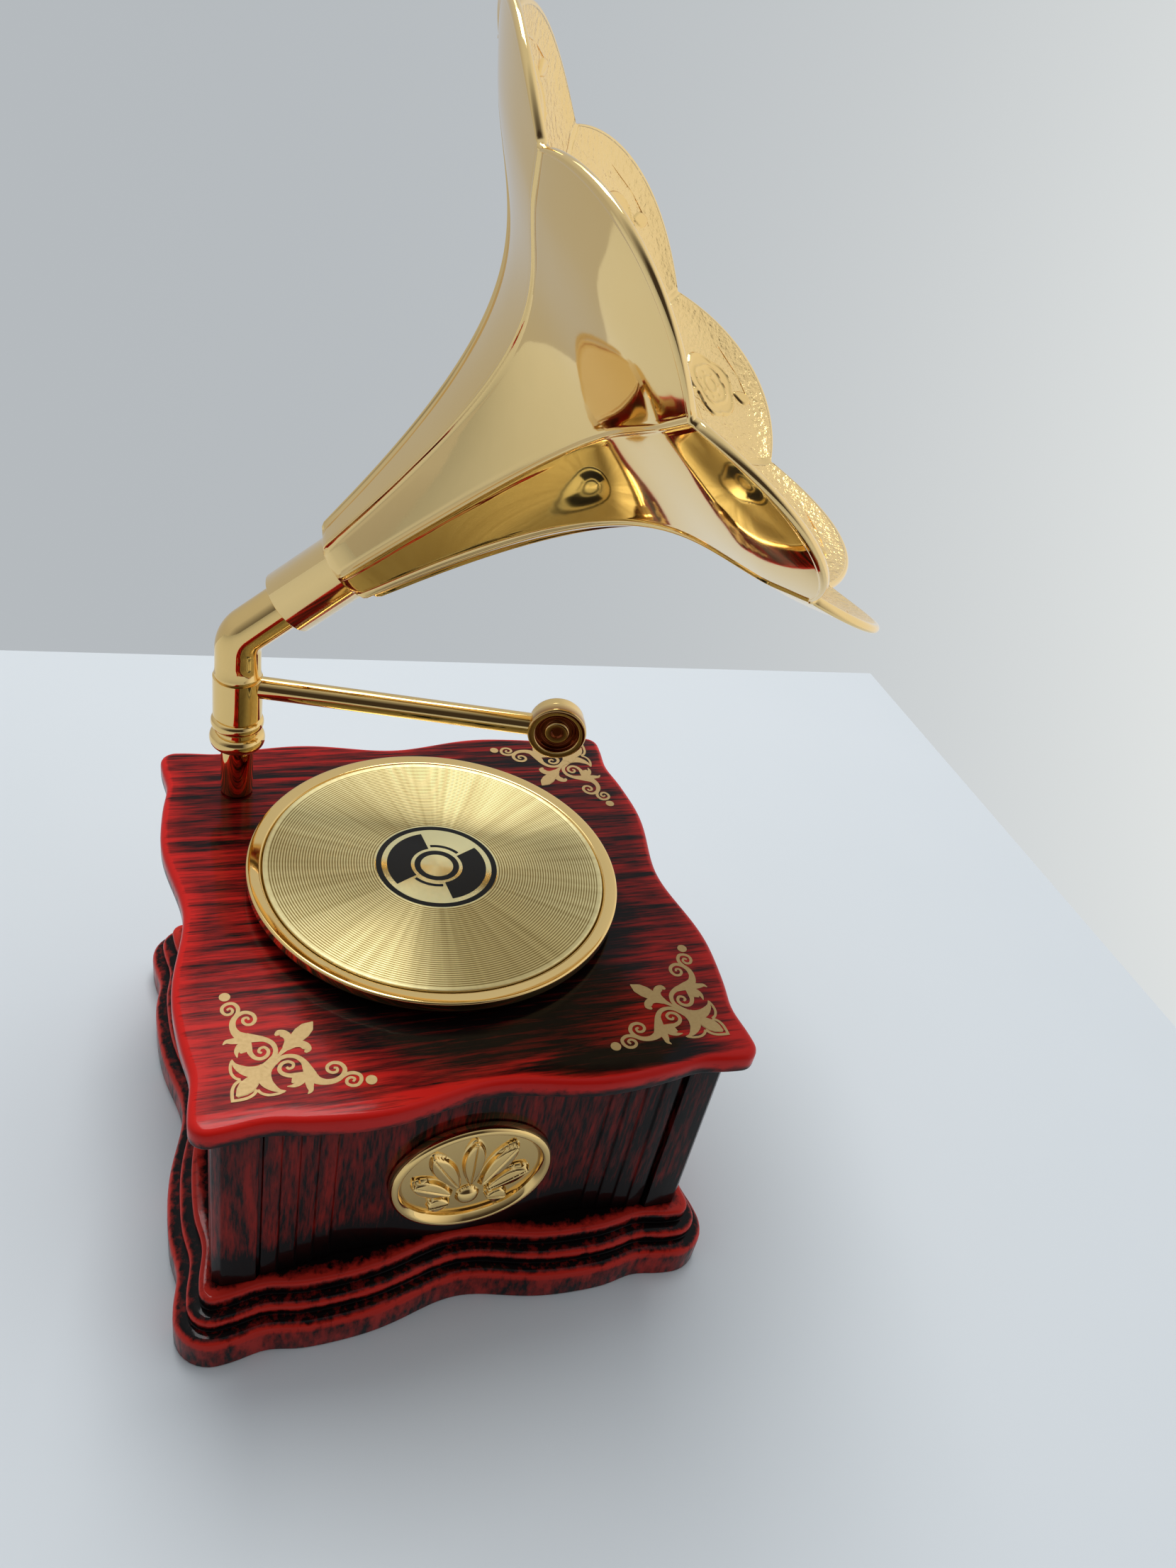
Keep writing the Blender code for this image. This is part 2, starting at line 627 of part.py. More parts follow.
def build_lid(finishes):
    """Wavy slab with a rounded edge. Below it are a locating rib, screw bosses and the movement's bosses."""
    profile = [(LID_FOOT_ROUND, LID_FOOT), (0.0, LID_FOOT + LID_FOOT_ROUND)]
    for step in range(4):
        turn = math.radians(30) * step
        profile.append((LID_ROUND * (1 - math.cos(turn)), LID_TOP - LID_ROUND * (1 - math.sin(turn))))
    lid = add("lid", loft([ring_at(wave_outline(LID_WAVE, inset), height) for inset, height in profile]),
              finishes["lacquer"])
    rib_half = WALL_INSIDE - FIT_GAP
    ends = ((rib_half, LID_FOOT - RIB_DEPTH), (rib_half, LID_FOOT + OVERLAP),
            (rib_half - RIB, LID_FOOT + OVERLAP), (rib_half - RIB, LID_FOOT - RIB_DEPTH))
    join(lid, loft([ring_at(rounded_square(half, WALL), height) for half, height in ends], closed=True))
    blind = SCREW_SHANK + SEAT_GAP
    cuts = []
    for places, radius, drop, hold in ((TOWERS, TOWER / 2 - FIT_GAP, LID_BOSS, SEAT_GAP),
                                       (BEDPLATE_SCREWS, BOSS_RADIUS, MOVEMENT_BOSS, BEDPLATE_SCREW_HOLD)):
        foot = LID_FOOT - drop
        join(lid, *[rod(radius, foot, LID_FOOT + OVERLAP, SCREW_STEPS, place) for place in places])
        cuts += [rod(blind, foot - OVERLAP, LID_FOOT + hold, SCREW_STEPS, place) for place in places]
    for radius, steps, place in ((SCREW_SHANK + SCREW_GAP, SCREW_STEPS, (POST_X, POST_Y)),
                                 (HUB_RADIUS + FIT_GAP, ROUND_STEPS, (0, AXIS_Y))):
        cuts.append(rod(radius, LID_FOOT - BEYOND, LID_TOP + BEYOND, steps, place))
    cut(lid, *cuts)
    head_z = DECK_FOOT - SEAT_GAP
    for number, place in enumerate(TOWERS, 1):
        length = LID_FOOT - LID_BOSS + TIE_SCREW_HOLD - SCREW_SHANK - head_z
        screw(f"tie_screw_{number}", finishes["steel"], (*place, head_z), length)


def medallion_pegs(radius, length):
    """The two pegs behind the medallion, in world coordinates, or the holes that take them."""
    pegs = []
    for side in (-1, 1):
        peg = rod(radius, -length, OVERLAP, SCREW_STEPS, (side * PEG_PITCH / 2, MEDALLION_CENTRE_Z))
        peg.transform(Matrix.Translation((0, -PANEL_HALF, 0)) @ Matrix.Rotation(math.radians(90), 4, "X"))
        pegs.append(peg)
    return pegs


def oval(width, height, level):
    """One turn round an oval."""
    turns = [math.tau * step / ROUND_STEPS for step in range(ROUND_STEPS)]
    return [Vector((width / 2 * math.cos(turn), height / 2 * math.sin(turn), level)) for turn in turns]


def leaf(length, width, base, angle):
    """A pointed leaf: two bows that meet at the stalk and at the tip, raised along its middle."""
    side = []
    for step in range(1, LEAF_STEPS):
        share = step / LEAF_STEPS
        side.append((length * share, width / 2 * math.sin(math.pi * share) ** LEAF_BOW))
    low = MEDALLION_FIELD - RELIEF / 2
    edge = MEDALLION_FIELD + RELIEF * LEAF_EDGE_SHARE
    outline = [(0.0, 0.0)] + side + [(length, 0.0)] + [(along, -out) for along, out in reversed(side)]
    inner = [(length / 2 + (along - length / 2) * RIDGE_LONG_SHARE, out * RIDGE_WIDE_SHARE)
             for along, out in outline]
    shape = loft([ring_at(outline, low), ring_at(outline, edge), ring_at(inner, MEDALLION_FIELD + RELIEF)])
    shape.transform(Matrix.Translation((*base, 0)) @ Matrix.Rotation(angle, 4, "Z"))
    return shape


def build_medallion(finishes):
    """Oval plaque: raised rim, sunk field, and a palmette whose leaves fan out from a ball."""
    edge = MEDALLION_FIELD / 2
    bands = ((0, 0), (0, MEDALLION - edge), (edge, MEDALLION), (MEDALLION_RIM - edge / 2, MEDALLION),
             (MEDALLION_RIM, MEDALLION_FIELD))
    rings = [oval(MEDALLION_WIDTH - 2 * inset, MEDALLION_HEIGHT - 2 * inset, level)
             for inset, level in bands]
    plaque = add("medallion", loft(rings), finishes["gold"],
                 at=(0, -PANEL_HALF - SEAT_GAP, MEDALLION_CENTRE_Z), turn=FRONT_FACING)
    relief = []
    for angle, length in LEAVES + LOW_LEAVES:
        turn = math.radians(angle)
        base = (LEAF_START * math.cos(turn), FAN_CENTRE + LEAF_START * math.sin(turn))
        relief.append(leaf(length * MM, LEAF_WIDTH, base, turn))
    ball_low = MEDALLION_FIELD - RELIEF / 2
    ball = [(0, ball_low), (BALL, ball_low)]
    ball += [(BALL * math.cos(turn), MEDALLION_FIELD + (RELIEF + edge) * math.sin(turn))
             for turn in (0.0, math.radians(35), math.radians(65))]
    ball.append((0, MEDALLION_FIELD + RELIEF + edge))
    dome = turned(ball, SMALL_STEPS)
    bmesh.ops.translate(dome, vec=(0, FAN_CENTRE, 0), verts=dome.verts)
    join(plaque, *relief, dome)
    pegs = [rod(PEG, -WALL, OVERLAP / 2, SCREW_STEPS, (side * PEG_PITCH / 2, 0)) for side in (-1, 1)]
    join(plaque, *pegs)


def build_turntable(finishes, axis):
    """Platter, record, hub and the winding arbor that carries them. Heights are over the lid's top."""
    foot = PLATTER_FOOT - LID_TOP
    top = foot + PLATTER
    floor = foot + PLATTER_FLOOR
    edge = PLATTER_RADIUS
    lip = edge - PLATTER_LIP
    platter = [(0, foot), (edge - PLATTER / 4, foot), (edge, foot + PLATTER / 4), (edge, top - PLATTER / 4),
               (edge - PLATTER / 4, top), (lip + PLATTER / 8, top - PLATTER / 5), (lip, floor), (0, floor)]
    add("platter", turned(platter, RIM_STEPS), finishes["gold"], axis)
    low = floor + SEAT_GAP
    high = low + RECORD
    rim = lip - SEAT_GAP
    record = [(0, low), (rim, low), (rim, high), (rim - FIT_GAP, high + EDGE_BEAD),
              (rim - 2 * FIT_GAP, high), (0, high)]
    add("record_disc", turned(record, RIM_STEPS), finishes["record"], axis)
    hub_top = HUB_TOP - LID_TOP
    hub_foot = hub_top - HUB_LENGTH
    bore = ARBOR_RADIUS + SEAT_GAP
    bore_top = hub_top - 2 * SEAT_GAP
    flange_foot = hub_top - HUB_FLANGE_HEIGHT
    hub = [(0, hub_top), (HUB_FLANGE, hub_top), (HUB_FLANGE, flange_foot), (HUB_RADIUS, flange_foot),
           (HUB_RADIUS, hub_foot), (bore, hub_foot), (bore, bore_top), (0, bore_top)]
    add("platter_hub", turned(hub, TURNED_STEPS), finishes["white"], axis)
    arbor = rod(ARBOR_RADIUS, HOUSING_FOOT - LID_TOP, bore_top - SEAT_GAP)
    add("winding_arbor", arbor, finishes["steel"], axis)
    build_crown_gear(finishes, axis)


def build_crown_gear(finishes, axis):
    """Disc on the arbor with teeth that point down round its edge."""
    top = CROWN_TOP - LID_TOP
    inner = CROWN_RADIUS - CROWN_FACE
    bore = ARBOR_RADIUS + SEAT_GAP
    web = top - CROWN_WEB
    crown = add("crown_gear", turned([(bore, top), (CROWN_RADIUS, top), (CROWN_RADIUS, web), (bore, web)],
                                     CROWN_TEETH), finishes["brass"], axis)
    teeth = []
    outer = CROWN_RADIUS - SEAT_GAP
    half = math.radians(90) / CROWN_TEETH
    for tooth in range(CROWN_TEETH):
        middle = math.tau * (tooth + 0.5) / CROWN_TEETH
        start, end = middle - half, middle + half
        sector = ((inner, start), (outer, start), (outer, end), (inner, end))
        outline = [(radius * math.cos(turn), radius * math.sin(turn)) for radius, turn in sector]
        teeth.append(prism(outline, web - CROWN_TOOTH, web + CROWN_WEB / 2))
    join(crown, *teeth)


def gear(teeth, tip, low, high):
    """A spur gear with flat-topped teeth."""
    outline = []
    root = tip - TOOTH_DEPTH
    flank = ((-TOOTH_ROOT_SHARE, root), (-TOOTH_TIP_SHARE, tip), (TOOTH_TIP_SHARE, tip),
             (TOOTH_ROOT_SHARE, root))
    for tooth in range(teeth):
        for share, radius in flank:
            turn = math.tau * (tooth + share) / teeth
            outline.append((radius * math.cos(turn), radius * math.sin(turn)))
    return prism(outline, low, high)


def build_bedplate(finishes):
    """Plate that hangs under the lid and carries the whole movement."""
    corners = [(BEDPLATE_LOW_X, BEDPLATE_LOW_Y), (BEDPLATE_HIGH_X, BEDPLATE_LOW_Y),
               (BEDPLATE_HIGH_X, BEDPLATE_HIGH_Y), (BEDPLATE_LOW_X, BEDPLATE_HIGH_Y)]
    plate = add("bedplate", prism(corners, BEDPLATE_FOOT, BEDPLATE_TOP), finishes["zinc"])
    edge = plate.modifiers.new("round corners", "BEVEL")
    edge.width = BOSS_RADIUS
    edge.segments = 3
    edge.limit_method = "WEIGHT"
    weights = plate.data.attributes.new("bevel_weight_edge", "FLOAT", "EDGE")
    for line in plate.data.edges:
        ends = [plate.data.vertices[corner].co for corner in line.vertices]
        weights.data[line.index].value = 1.0 if abs(ends[0].z - ends[1].z) > BEDPLATE / 2 else 0.0
    low = BEDPLATE_FOOT - OVERLAP
    high = BEDPLATE_TOP + OVERLAP
    cuts = [rod(SCREW_SHANK + SCREW_GAP, low, high, SCREW_STEPS, place) for place in BEDPLATE_SCREWS]
    cut(plate, *cuts, rod(ARBOR_RADIUS + RUN_GAP, low, high, centre=(0, AXIS_Y)))
    for number, place in enumerate(BEDPLATE_SCREWS, 1):
        hold = LID_FOOT + BEDPLATE_SCREW_HOLD - SCREW_SHANK - BEDPLATE_FOOT
        screw(f"bedplate_screw_{number}", finishes["steel"], (*place, BEDPLATE_FOOT - SEAT_GAP), hold)


def build_spring(finishes):
    """Spring housing on three legs, and the mainspring in it, wound on the arbor."""
    inside = HOUSING_RADIUS - HOUSING_WALL
    bore = ARBOR_RADIUS + RUN_GAP
    pivot = ARBOR_RADIUS + RUN_GAP
    shell = [(pivot, HOUSING_FOOT), (HOUSING_RADIUS, HOUSING_FOOT), (HOUSING_RADIUS, HOUSING_TOP),
             (bore, HOUSING_TOP), (bore, HOUSING_TOP - HOUSING_WALL), (inside, HOUSING_TOP - HOUSING_WALL),
             (inside, HOUSING_FOOT + HOUSING_WALL), (pivot, HOUSING_FOOT + HOUSING_WALL)]
    housing = add("spring_housing", turned(shell, TURNED_STEPS), finishes["steel"], at=(0, AXIS_Y, 0))
    arms = []
    legs = []
    for quarter in (1, 2, 3):
        turn = Matrix.Rotation(math.radians(90) * quarter, 4, "Z")
        arm = block((inside + HOUSING_WALL / 3, -LEG_RADIUS, HOUSING_FOOT),
                    (LEG_RING, LEG_RADIUS, HOUSING_FOOT + LEG_ARM))
        leg = rod(LEG_RADIUS, HOUSING_FOOT, BEDPLATE_FOOT - SEAT_GAP, centre=(LEG_RING, 0))
        arm.transform(turn)
        leg.transform(turn)
        arms.append(arm)
        legs.append(leg)
    join(housing, *arms)
    join(housing, *legs)
    low = HOUSING_FOOT + HOUSING_WALL + SEAT_GAP
    high = HOUSING_TOP - HOUSING_WALL - SEAT_GAP
    count = SPRING_TURNS * SPRING_POINTS + 1
    inner = []
    outer = []
    for point in range(count):
        turn = math.tau * point / SPRING_POINTS
        radius = SPRING_START + (SPRING_END - SPRING_START) * point / (count - 1)
        ray = Vector((math.cos(turn), math.sin(turn)))
        inner.append(ray * radius)
        outer.append(ray * (radius + SPRING_STRIP))
    add("mainspring", prism(inner + outer[::-1], low, high), finishes["steel"], at=(0, AXIS_Y, 0))


def build_cylinder(finishes, axis):
    """Pinned cylinder, and its arbor with the pinion and the wheel. The empty's Z runs along world +X."""
    start = CYLINDER_X
    end = CYLINDER_X + CYLINDER_LENGTH
    bore = AXLE_RADIUS + SEAT_GAP
    drum = add("pinned_cylinder", turned([(bore, start), (CYLINDER_RADIUS, start), (CYLINDER_RADIUS, end),
                                          (bore, end)], BEATS), finishes["brass"], axis)
    pins = []
    for note in range(NOTES):
        for number in range(PINS_PER_NOTE):
            along = start + CYLINDER_LENGTH * (note + 0.5) / NOTES
            beat = (note * NOTE_SHIFT + number * PIN_SHIFT) % BEATS
            turn = math.tau * (beat + 0.5) / BEATS
            pin = block((CYLINDER_RADIUS - OVERLAP, -PIN_WIDTH / 2, along - PIN_WIDTH / 2),
                        (CYLINDER_RADIUS + PIN_HEIGHT, PIN_WIDTH / 2, along + PIN_WIDTH / 2))
            pin.transform(Matrix.Rotation(turn, 4, "Z"))
            pins.append(pin)
    join(drum, *pins)
    pinion_start = PINION_X - PINION_FACE / 2
    arbor_end = PLATE_X + GOVERNOR_PLATE - SEAT_GAP
    shaft = rod(AXLE_RADIUS, pinion_start - SEAT_GAP, arbor_end)
    arbor = add("cylinder_arbor", shaft, finishes["steel"], axis)
    join(arbor, gear(PINION_TEETH, PINION_TIP, pinion_start, pinion_start + PINION_FACE))
    join(arbor, gear(WHEEL_TEETH, WHEEL_TIP, WHEEL_X, WHEEL_X + WHEEL_FACE))


def build_cylinder_bracket(finishes):
    """Angle that hangs from the bedplate between the crown gear and the cylinder, and holds the arbor."""
    top = BEDPLATE_FOOT - SEAT_GAP
    half = BRACKET_WIDTH / 2
    bracket = add("cylinder_bracket", block((BRACKET_X, AXIS_Y - half, CYLINDER_Z - half),
                                            (BRACKET_X + BRACKET, AXIS_Y + half, top)), finishes["steel"])
    foot_end = BRACKET_X + BRACKET_FOOT
    join(bracket, block((BRACKET_X, AXIS_Y - half, top - BRACKET), (foot_end, AXIS_Y + half, top)))
    cut(bracket, along_x(AXLE_RADIUS + RUN_GAP, BRACKET_X - OVERLAP, BRACKET_X + BRACKET + OVERLAP,
                         AXIS_Y, CYLINDER_Z))


def along_x(radius, start, end, y, z):
    """A rod that lies along X."""
    shape = rod(radius, start, end)
    shape.transform(Matrix.Translation((0, y, z)) @ Matrix.Rotation(math.radians(90), 4, "Y"))
    return shape


def build_comb(finishes):
    """Comb of tuned teeth, the block that it is screwed to, and its two screws."""
    left = CYLINDER_X
    pitch = CYLINDER_LENGTH / NOTES
    outline = [(left + CYLINDER_LENGTH, COMB_HEEL_Y), (left, COMB_HEEL_Y)]
    for note in range(NOTES):
        start = left + note * pitch + COMB_SLOT / 2
        end = left + (note + 1) * pitch - COMB_SLOT / 2
        outline += [(start, COMB_TIP_Y), (end, COMB_TIP_Y)]
        if note < NOTES - 1:
            share = note / (NOTES - 2)
            depth = COMB_TIP_Y + COMB_TEETH_LENGTH * (1 - share) + COMB_SHORTEST_SLOT * share
            outline += [(end, depth), (end + COMB_SLOT, depth)]
    low = CYLINDER_Z - COMB / 2
    comb = add("comb", prism(outline, low, low + COMB), finishes["steel"])
    middle = left + CYLINDER_LENGTH / 2
    hold_y = COMB_HEEL_Y - COMB_HEEL / 2
    places = [(middle + side * COMB_SCREW_PITCH / 2, hold_y) for side in (-1, 1)]
    cut(comb, *[rod(SCREW_SHANK + SCREW_GAP, low - OVERLAP, low + COMB + OVERLAP, SCREW_STEPS, place)
                for place in places])
    base_low = low + COMB + SEAT_GAP
    base = add("comb_base", block((left, COMB_HEEL_Y - COMB_HEEL, base_low),
                                  (left + CYLINDER_LENGTH, COMB_HEEL_Y, BEDPLATE_FOOT - SEAT_GAP)),
               finishes["zinc"])
    hold = base_low + COMB_SCREW_HOLD
    cut(base, *[rod(SCREW_SHANK + SEAT_GAP, base_low - OVERLAP, hold, SCREW_STEPS, place)
                for place in places])
    for number, place in enumerate(places, 1):
        screw(f"comb_screw_{number}", finishes["steel"], (*place, low - SEAT_GAP),
              COMB + COMB_SCREW_HOLD - SCREW_SHANK)


def build_governor(finishes, wheel_axis, worm_axis):
    """Bracket, wheel and worm of the governor."""
    top = BEDPLATE_FOOT - SEAT_GAP
    worm_top = CYLINDER_Z + WORM_LENGTH / 2 + GOVERNOR_ARM
    worm_foot = CYLINDER_Z - WORM_LENGTH / 2 - GOVERNOR_ARM
    front = WORM_Y - GOVERNOR_ARM / 2
    plate_end = PLATE_X + GOVERNOR_PLATE
    bracket = add("governor_bracket", block((PLATE_X, front, worm_foot - GOVERNOR_PLATE),
                                            (plate_end, AXIS_Y + GOVERNOR_ARM / 2, top)), finishes["steel"])
    arm_start = WORM_WHEEL_X - GOVERNOR_ARM / 2
    arm_end = plate_end - GOVERNOR_PLATE / 2
    back = front + GOVERNOR_ARM
    join(bracket, block((arm_start, front, worm_top), (arm_end, back, worm_top + GOVERNOR_PLATE)),
         block((arm_start, front, worm_foot - GOVERNOR_PLATE), (arm_end, back, worm_foot)))
    hanger = GOVERNOR_Y - GOVERNOR_ARM / 2
    hanger_back = hanger + GOVERNOR_ARM
    hanger_end = GOVERNOR_HANGER_X + GOVERNOR_PLATE
    join(bracket, block((GOVERNOR_HANGER_X, hanger, top - GOVERNOR_PLATE), (arm_end, hanger_back, top)))
    join(bracket, block((GOVERNOR_HANGER_X, hanger, CYLINDER_Z - GOVERNOR_ARM / 2),
                        (hanger_end, hanger_back, top - GOVERNOR_PLATE / 2)))
    bore = AXLE_RADIUS + RUN_GAP
    holes = [along_x(bore, PLATE_X - OVERLAP, plate_end + OVERLAP, y, CYLINDER_Z)
             for y in (AXIS_Y, GOVERNOR_Y)]
    holes.append(along_x(bore, GOVERNOR_HANGER_X - OVERLAP, hanger_end + OVERLAP, GOVERNOR_Y, CYLINDER_Z))
    holes += [rod(WORM_SHAFT + RUN_GAP, low - OVERLAP, low + GOVERNOR_PLATE + OVERLAP, SCREW_STEPS,
                  (WORM_WHEEL_X, WORM_Y)) for low in (worm_top, worm_foot - GOVERNOR_PLATE)]
    cut(bracket, *holes)

    wheel = add("governor_wheel", rod(AXLE_RADIUS, GOVERNOR_HANGER_X + RUN_GAP, plate_end - RUN_GAP),
                finishes["brass"], wheel_axis)
    join(wheel, gear(GOVERNOR_PINION_TEETH, GOVERNOR_PINION_TIP, WHEEL_X, WHEEL_X + WHEEL_FACE))
    join(wheel, gear(WORM_WHEEL_TEETH, WORM_WHEEL_TIP, WORM_WHEEL_X - WORM_WHEEL_FACE / 2,
                     WORM_WHEEL_X + WORM_WHEEL_FACE / 2))

    half = WORM_LENGTH / 2
    shaft_top = worm_top + GOVERNOR_PLATE - RUN_GAP - CYLINDER_Z
    profile = [(0, -shaft_top), (WORM_SHAFT, -shaft_top), (WORM_SHAFT, -half), (WORM_RADIUS, -half),
               (WORM_RADIUS, half), (WORM_SHAFT, half), (WORM_SHAFT, shaft_top), (0, shaft_top)]
    worm = add("fan_worm", turned(profile, SMALL_STEPS), finishes["white"], worm_axis)
    fan_top = -half - RUN_GAP
    join(worm, block((-FAN_REACH, -FAN / 2, fan_top - FAN_HEIGHT), (FAN_REACH, FAN / 2, fan_top)))


def elbow_stations():
    """(place on the path, direction there, radius) from the collar to the end of the spigot."""
    bulges = []
    for centre, height, radius in ((COLLAR_LIFT + COLLAR_HEIGHT / 2, COLLAR_HEIGHT, COLLAR_RADIUS),
                                   (COLLAR_LIFT + COLLAR_HEIGHT + OVERLAP + BEAD_HEIGHT / 2, BEAD_HEIGHT,
                                    BEAD_RADIUS)):
        for share, bulge in ((-0.5, 0.0), (-0.3, 0.8), (0.0, 1.0), (0.3, 0.8), (0.5, 0.0)):
            bulges.append((centre + share * height, PIPE_RADIUS + (radius - PIPE_RADIUS) * bulge))
    straight = bulges + [(BAND_LIFT - SEAT_GAP, PIPE_RADIUS), (BAND_LIFT, BAND_RADIUS),
                         (BAND_TOP, BAND_RADIUS), (BAND_TOP + SEAT_GAP, PIPE_RADIUS)]
    up = Vector((0, 0, 1))
    stations = [(up * height, up, radius) for height, radius in straight]
    bend = math.radians(90) - HORN_RISE
    tangent = BEND_RADIUS * math.tan(bend / 2)
    corner = up * BEND_LIFT
    centre = corner - up * tangent + Vector((BEND_RADIUS, 0, 0))
    for step in range(BEND_STEPS + 1):
        turn = bend * step / BEND_STEPS
        heading = Vector((math.sin(turn), 0, math.cos(turn)))
        outward = Vector((-math.cos(turn), 0, math.sin(turn)))
        stations.append((centre + outward * BEND_RADIUS, heading, PIPE_RADIUS))
    along = Vector((math.cos(HORN_RISE), 0, math.sin(HORN_RISE)))
    end = corner + along * SPIGOT_END
    stations += [(end - along * SEAT_GAP, along, PIPE_RADIUS), (end, along, PIPE_RADIUS - SEAT_GAP)]
    return stations


def build_arm(finishes, axis):
    """Elbow pipe that turns on the post, the tone arm and the sound box. Heights are over the lid's top."""
    side = Vector((0, 1, 0))
    rings = []
    for place, heading, radius in elbow_stations():
        across = side.cross(heading)
        rings.append([place + radius * (across * math.cos(math.tau * step / PIPE_STEPS)
                                        + side * math.sin(math.tau * step / PIPE_STEPS))
                      for step in range(PIPE_STEPS)])
    pipe = add("elbow_pipe", loft(rings), finishes["gold"], axis)
    socket_foot = ARM_LIFT - ARM_RADIUS - SEAT_GAP
    bore_top = socket_foot - ARM_FLOOR
    cut(pipe, rod(POST_RADIUS + RUN_GAP, COLLAR_LIFT - BEYOND, bore_top, PIPE_STEPS))
    arm_turn = Matrix.Rotation(math.radians(90), 4, "Y")
    arm_start = BAND_RADIUS - ARM_SOCKET
    socket = rod(ARM_RADIUS + SEAT_GAP, arm_start, BAND_RADIUS + BEYOND)
    socket.transform(Matrix.Translation((0, 0, ARM_LIFT)) @ arm_turn)
    hollow = rod(SPIGOT_BORE, SPIGOT_END - SPIGOT_BORE_DEPTH, SPIGOT_END + BEYOND)
    tilt = Matrix.Rotation(math.radians(90) - HORN_RISE, 4, "Y")
    hollow.transform(Matrix.Translation((0, 0, BEND_LIFT)) @ tilt)
    cut(pipe, socket, hollow)

    arm = rod(ARM_RADIUS, arm_start + SEAT_GAP, ARM_REACH - SOUND_BOX_RADIUS - SEAT_GAP, PIPE_STEPS)
    arm.transform(arm_turn)
    add("tone_arm_rod", arm, finishes["gold"], axis, at=(0, 0, ARM_LIFT))

    half = SOUND_BOX / 2
    seam = SEAT_GAP / 2
    round_off = SEAT_GAP
    rear = SOUND_BOX_BACK_RADIUS
    back = [(0, -half), (rear - round_off, -half), (rear, -half + round_off), (rear, -seam), (0, -seam)]
    floor = half - SOUND_BOX_RECESS
    ring_inner = SOUND_BOX_RADIUS - SOUND_BOX_RING
    front = [(0, seam), (SOUND_BOX_RADIUS, seam), (SOUND_BOX_RADIUS, half - round_off),
             (SOUND_BOX_RADIUS - round_off, half), (ring_inner + round_off, half), (ring_inner, floor),
             (SOUND_BOX_BOSS, floor), (SOUND_BOX_BOSS - round_off, floor + SOUND_BOX_BOSS_RISE),
             (0, floor + SOUND_BOX_BOSS_RISE)]
    place = (ARM_REACH, 0, ARM_LIFT)
    add("sound_box_back", turned(back, TURNED_STEPS), finishes["gold"], axis, place, FRONT_FACING)
    add("sound_box_front", turned(front, TURNED_STEPS), finishes["gold"], axis, place, FRONT_FACING)

    post_top = bore_top - SEAT_GAP
    blind = POST_SCREW_HOLD + SEAT_GAP
    bore = SCREW_SHANK + SEAT_GAP
    post = [(bore, SEAT_GAP), (POST_RADIUS, SEAT_GAP), (POST_RADIUS, post_top - SEAT_GAP),
            (POST_RADIUS - SEAT_GAP, post_top), (0, post_top), (0, blind), (bore, blind)]
    post_solid = turned(sorted_from_axis(post), PIPE_STEPS)
    add("post", post_solid, finishes["gold"], at=(POST_X, POST_Y, LID_TOP))
    screw("post_screw", finishes["steel"], (POST_X, POST_Y, LID_FOOT - SEAT_GAP),
          LID + SEAT_GAP + POST_SCREW_HOLD - SCREW_SHANK)


def sorted_from_axis(profile):
    """Start a profile at its first point on the axis, so that it ends on the axis too."""
    first = next(place for place, point in enumerate(profile) if point[0] == 0)
    return profile[first + 1:] + profile[:first + 1]


def bell_point(share):
    """Place (along, radius) and normal on the ridge of a seam: a cubic curve from the neck to the mouth."""
    start = Vector((NECK_END, NECK_RADIUS))
    end = Vector((MOUTH_END, MOUTH_RADIUS))
    first = start + NECK_PULL * Vector((math.cos(NECK_ANGLE), math.sin(NECK_ANGLE)))
    second = end - MOUTH_PULL * Vector((math.cos(MOUTH_ANGLE), math.sin(MOUTH_ANGLE)))
    rest = 1 - share
    place = rest ** 3 * start + share ** 3 * end + 3 * rest * share * (rest * first + share * second)
    slope = rest ** 2 * (first - start) + 2 * rest * share * (second - first) + share ** 2 * (end - second)
    normal = Vector((-slope.y, slope.x)).normalized()
    return place, normal


def bell_ring(station, depth, ribbed):
    """One turn round the bell at a station from neck (0) to rim (1), sunk by depth under its outside.

    Between two seams the neck is flat and the rim is round, and each petal's edge is an arch past its seams.
    """
    points = []
    sector = math.tau / PETALS
    flatness = max(0.0, 1 - station)
    for petal in range(PETALS):
        for across in PETAL_STEPS:
            arch = (1 - NOTCH_SHARE) * across ** 2 * station ** 3
            place, normal = bell_point(station * (1 - arch))
            place = place - normal * depth
            flat = math.cos(sector / 2) / math.cos(across * sector / 2)
            radius = (place.y - SEAM_RIB) * (1 - flatness + flatness * flat)
            if ribbed and across == PETAL_STEPS[0]:
                radius += SEAM_RIB
            turn = SEAM_ANGLE + sector * (petal + (across + 1) / 2)
            points.append(Vector((radius * math.cos(turn), radius * math.sin(turn), place.x)))
    return points


def round_ring(radius, along):
    """One turn at the same angles as the bell's points."""
    points = []
    for petal in range(PETALS):
        for across in PETAL_STEPS:
            turn = SEAM_ANGLE + math.tau * (petal + (across + 1) / 2) / PETALS
            points.append(Vector((radius * math.cos(turn), radius * math.sin(turn), along)))
    return points


